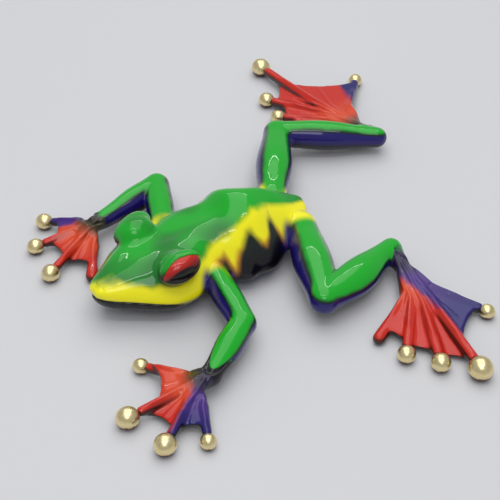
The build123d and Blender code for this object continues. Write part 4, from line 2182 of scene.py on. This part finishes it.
@dataclass
class Studio:
    """The floor, the lamps, the sky and the camera.

    Attributes:
        camera: Place of the camera, in millimetres.
        aim: What it looks at, in millimetres.
        lens: Focal length, in millimetres.
        film: Width of the film, in millimetres.
        clip: The nearest and the furthest that it sees, in metres.
        towards: The level way from the frog to the camera.
        floor_size: Length of the floor, in metres.
        ground: Colour of the floor.
        ground_shade: The floor's darker clouds, as a share of its colour.
        ground_cloud: Those clouds, to the metre.
        ground_roughness: Roughness of the floor.
        ground_sheen: How strongly it shines.
        sky: Colour of the light from all round.
        sky_strength: Strength of that light.
        lamps: The lamps: a large soft window, its two bright edges and a fill.
    """

    camera: Vector = field(default_factory=lambda: Vector((387.4, -254.76, 385.32)))
    aim: Vector = field(default_factory=lambda: Vector((-0.84, -7.38, 0.0)))
    lens: float = 108.0
    film: float = 36.0
    clip: Pair = (0.01, 20.0)
    towards: Vector = field(default_factory=lambda: Vector((0.843, -0.537, 0.0)))
    floor_size: float = 6.0
    ground: Colour = colour(214, 214, 216)
    ground_shade: float = 0.97
    ground_cloud: Cloud = Cloud(3.0, 2.0)
    ground_roughness: float = 0.85
    ground_sheen: float = 0.2
    sky: Colour = (0.93, 0.95, 1.0, 1.0)
    sky_strength: float = 0.45
    lamps: tuple[Lamp, ...] = (
        Lamp("soft_window", lean=-12.0, distance=1.0, depth=1.25, width=1.0, radiance=1.3),
        Lamp("near_edge", lean=18.0, distance=1.04, depth=0.02, width=1.0, radiance=18.0),
        Lamp("far_edge", lean=-46.0, distance=1.18, depth=0.02, width=1.0, radiance=12.0),
        Lamp("camera_fill", lean=38.0, distance=1.2, depth=0.4, width=0.5, radiance=3.0),
    )

    def set_camera(self) -> None:
        """Place the camera at the photograph's viewing angle."""
        data = bpy.data.cameras.new("camera")
        data.lens = self.lens
        data.sensor_width = self.film
        data.sensor_fit = "HORIZONTAL"
        data.clip_start, data.clip_end = self.clip
        camera = bpy.data.objects.new("camera", data)
        bpy.context.scene.collection.objects.link(camera)
        camera.location = self.camera * MM
        camera.rotation_euler = (self.aim - self.camera).to_track_quat("-Z", "Y").to_euler()
        bpy.context.scene.camera = camera

    def set_floor(self) -> None:
        """Lay the pale floor."""
        bpy.ops.object.select_all(action="DESELECT")
        bpy.ops.mesh.primitive_plane_add(size=self.floor_size, location=(0, 0, 0))
        floor = bpy.context.object
        floor.name = "floor"
        sheet = Sheet("pale_floor")
        darker = tuple(value * self.ground_shade for value in self.ground[:3]) + (1.0,)
        cloud = sheet.desk.noise(sheet.metres, self.ground_cloud)
        sheet.give("Base Color", sheet.desk.blend(cloud, darker, self.ground))
        sheet.give("Roughness", self.ground_roughness)
        sheet.give("Specular IOR Level", self.ground_sheen)
        floor.data.materials.append(sheet.material)

    def hang(self, lamp: Lamp) -> None:
        """Hang one lamp so that it faces the frog, level across the camera's line.

        Args:
            lamp: The lamp.
        """
        data = bpy.data.lights.new(lamp.name, "AREA")
        data.shape = "RECTANGLE"
        data.size = lamp.width
        data.size_y = lamp.depth
        data.energy = lamp.radiance * lamp.width * lamp.depth * math.pi
        item = bpy.data.objects.new(lamp.name, data)
        bpy.context.scene.collection.objects.link(item)
        angle = math.radians(lamp.lean)
        back = (Vector((0, 0, 1)) * math.cos(angle) + self.towards * math.sin(angle)).normalized()
        across = (self.camera - self.aim).cross(back).normalized()
        turn = Matrix((across, back.cross(across), back)).transposed().to_4x4()
        item.matrix_world = Matrix.Translation(back * lamp.distance) @ turn

    def set_sky(self) -> None:
        """Light the scene softly from all round."""
        world = bpy.data.worlds.new("studio")
        world.use_nodes = True
        background = world.node_tree.nodes["Background"]
        background.inputs["Color"].default_value = self.sky
        background.inputs["Strength"].default_value = self.sky_strength
        bpy.context.scene.world = world

    def set_up(self) -> None:
        """Set the camera, the floor and all the lights."""
        self.set_camera()
        self.set_floor()
        for lamp in self.lamps:
            self.hang(lamp)
        self.set_sky()
        bpy.context.scene.view_settings.view_transform = "Standard"


def main() -> None:
    """Set up the studio and build the frog round its frame."""
    logging.basicConfig(level=logging.INFO, format="%(name)s: %(message)s")
    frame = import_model()
    Studio().set_up()

    casting = Casting(nodes=dict(frame["nodes"]))
    pieces = casting.parted(casting.drawn_skin())
    finishes = Finishes(Enamel(), EyePaint(), Bronze())
    brush = Airbrush()
    paints = {
        Slot.SKIN: finishes.lacquered(Slot.SKIN.value, finishes.body_tint),
        Slot.UNDERSIDE: finishes.lacquered(Slot.UNDERSIDE.value, finishes.body_tint),
        Slot.LIMB: finishes.lacquered(Slot.LIMB.value, finishes.body_tint),
        Slot.WEB: finishes.lacquered(Slot.WEB.value, finishes.web_tint),
    }
    slots = {"body_shell": Slot.SKIN, "belly_plate": Slot.UNDERSIDE}
    for name in slots:
        brush.spray_body(pieces[name])
    for limb in LIMBS:
        slots[limb.arm] = Slot.LIMB
        slots[limb.hand] = Slot.WEB
        brush.spray_arm(pieces[limb.arm], limb)
        brush.spray_hand(pieces[limb.hand], limb)
    for name, slot in slots.items():
        pieces[name].data.materials.append(paints[slot])
        show(pieces[name], slot, name)

    eyes = Eyes()
    for side in Side:
        piece = eyes.build(side)
        piece.data.materials.append(finishes.eye(side))
        show(piece, Slot.EYE, "eye_" + side.value)

    pads = Pads()
    model = pads.model()
    model.data.materials.append(finishes.bronze())
    for limb in LIMBS:
        for digit in limb.padded():
            piece = pads.build(model, limb, digit)
            show(piece, Slot.BRONZE, limb.pad_node(digit))
    bpy.data.objects.remove(model)


if __name__ == "__main__":
    main()
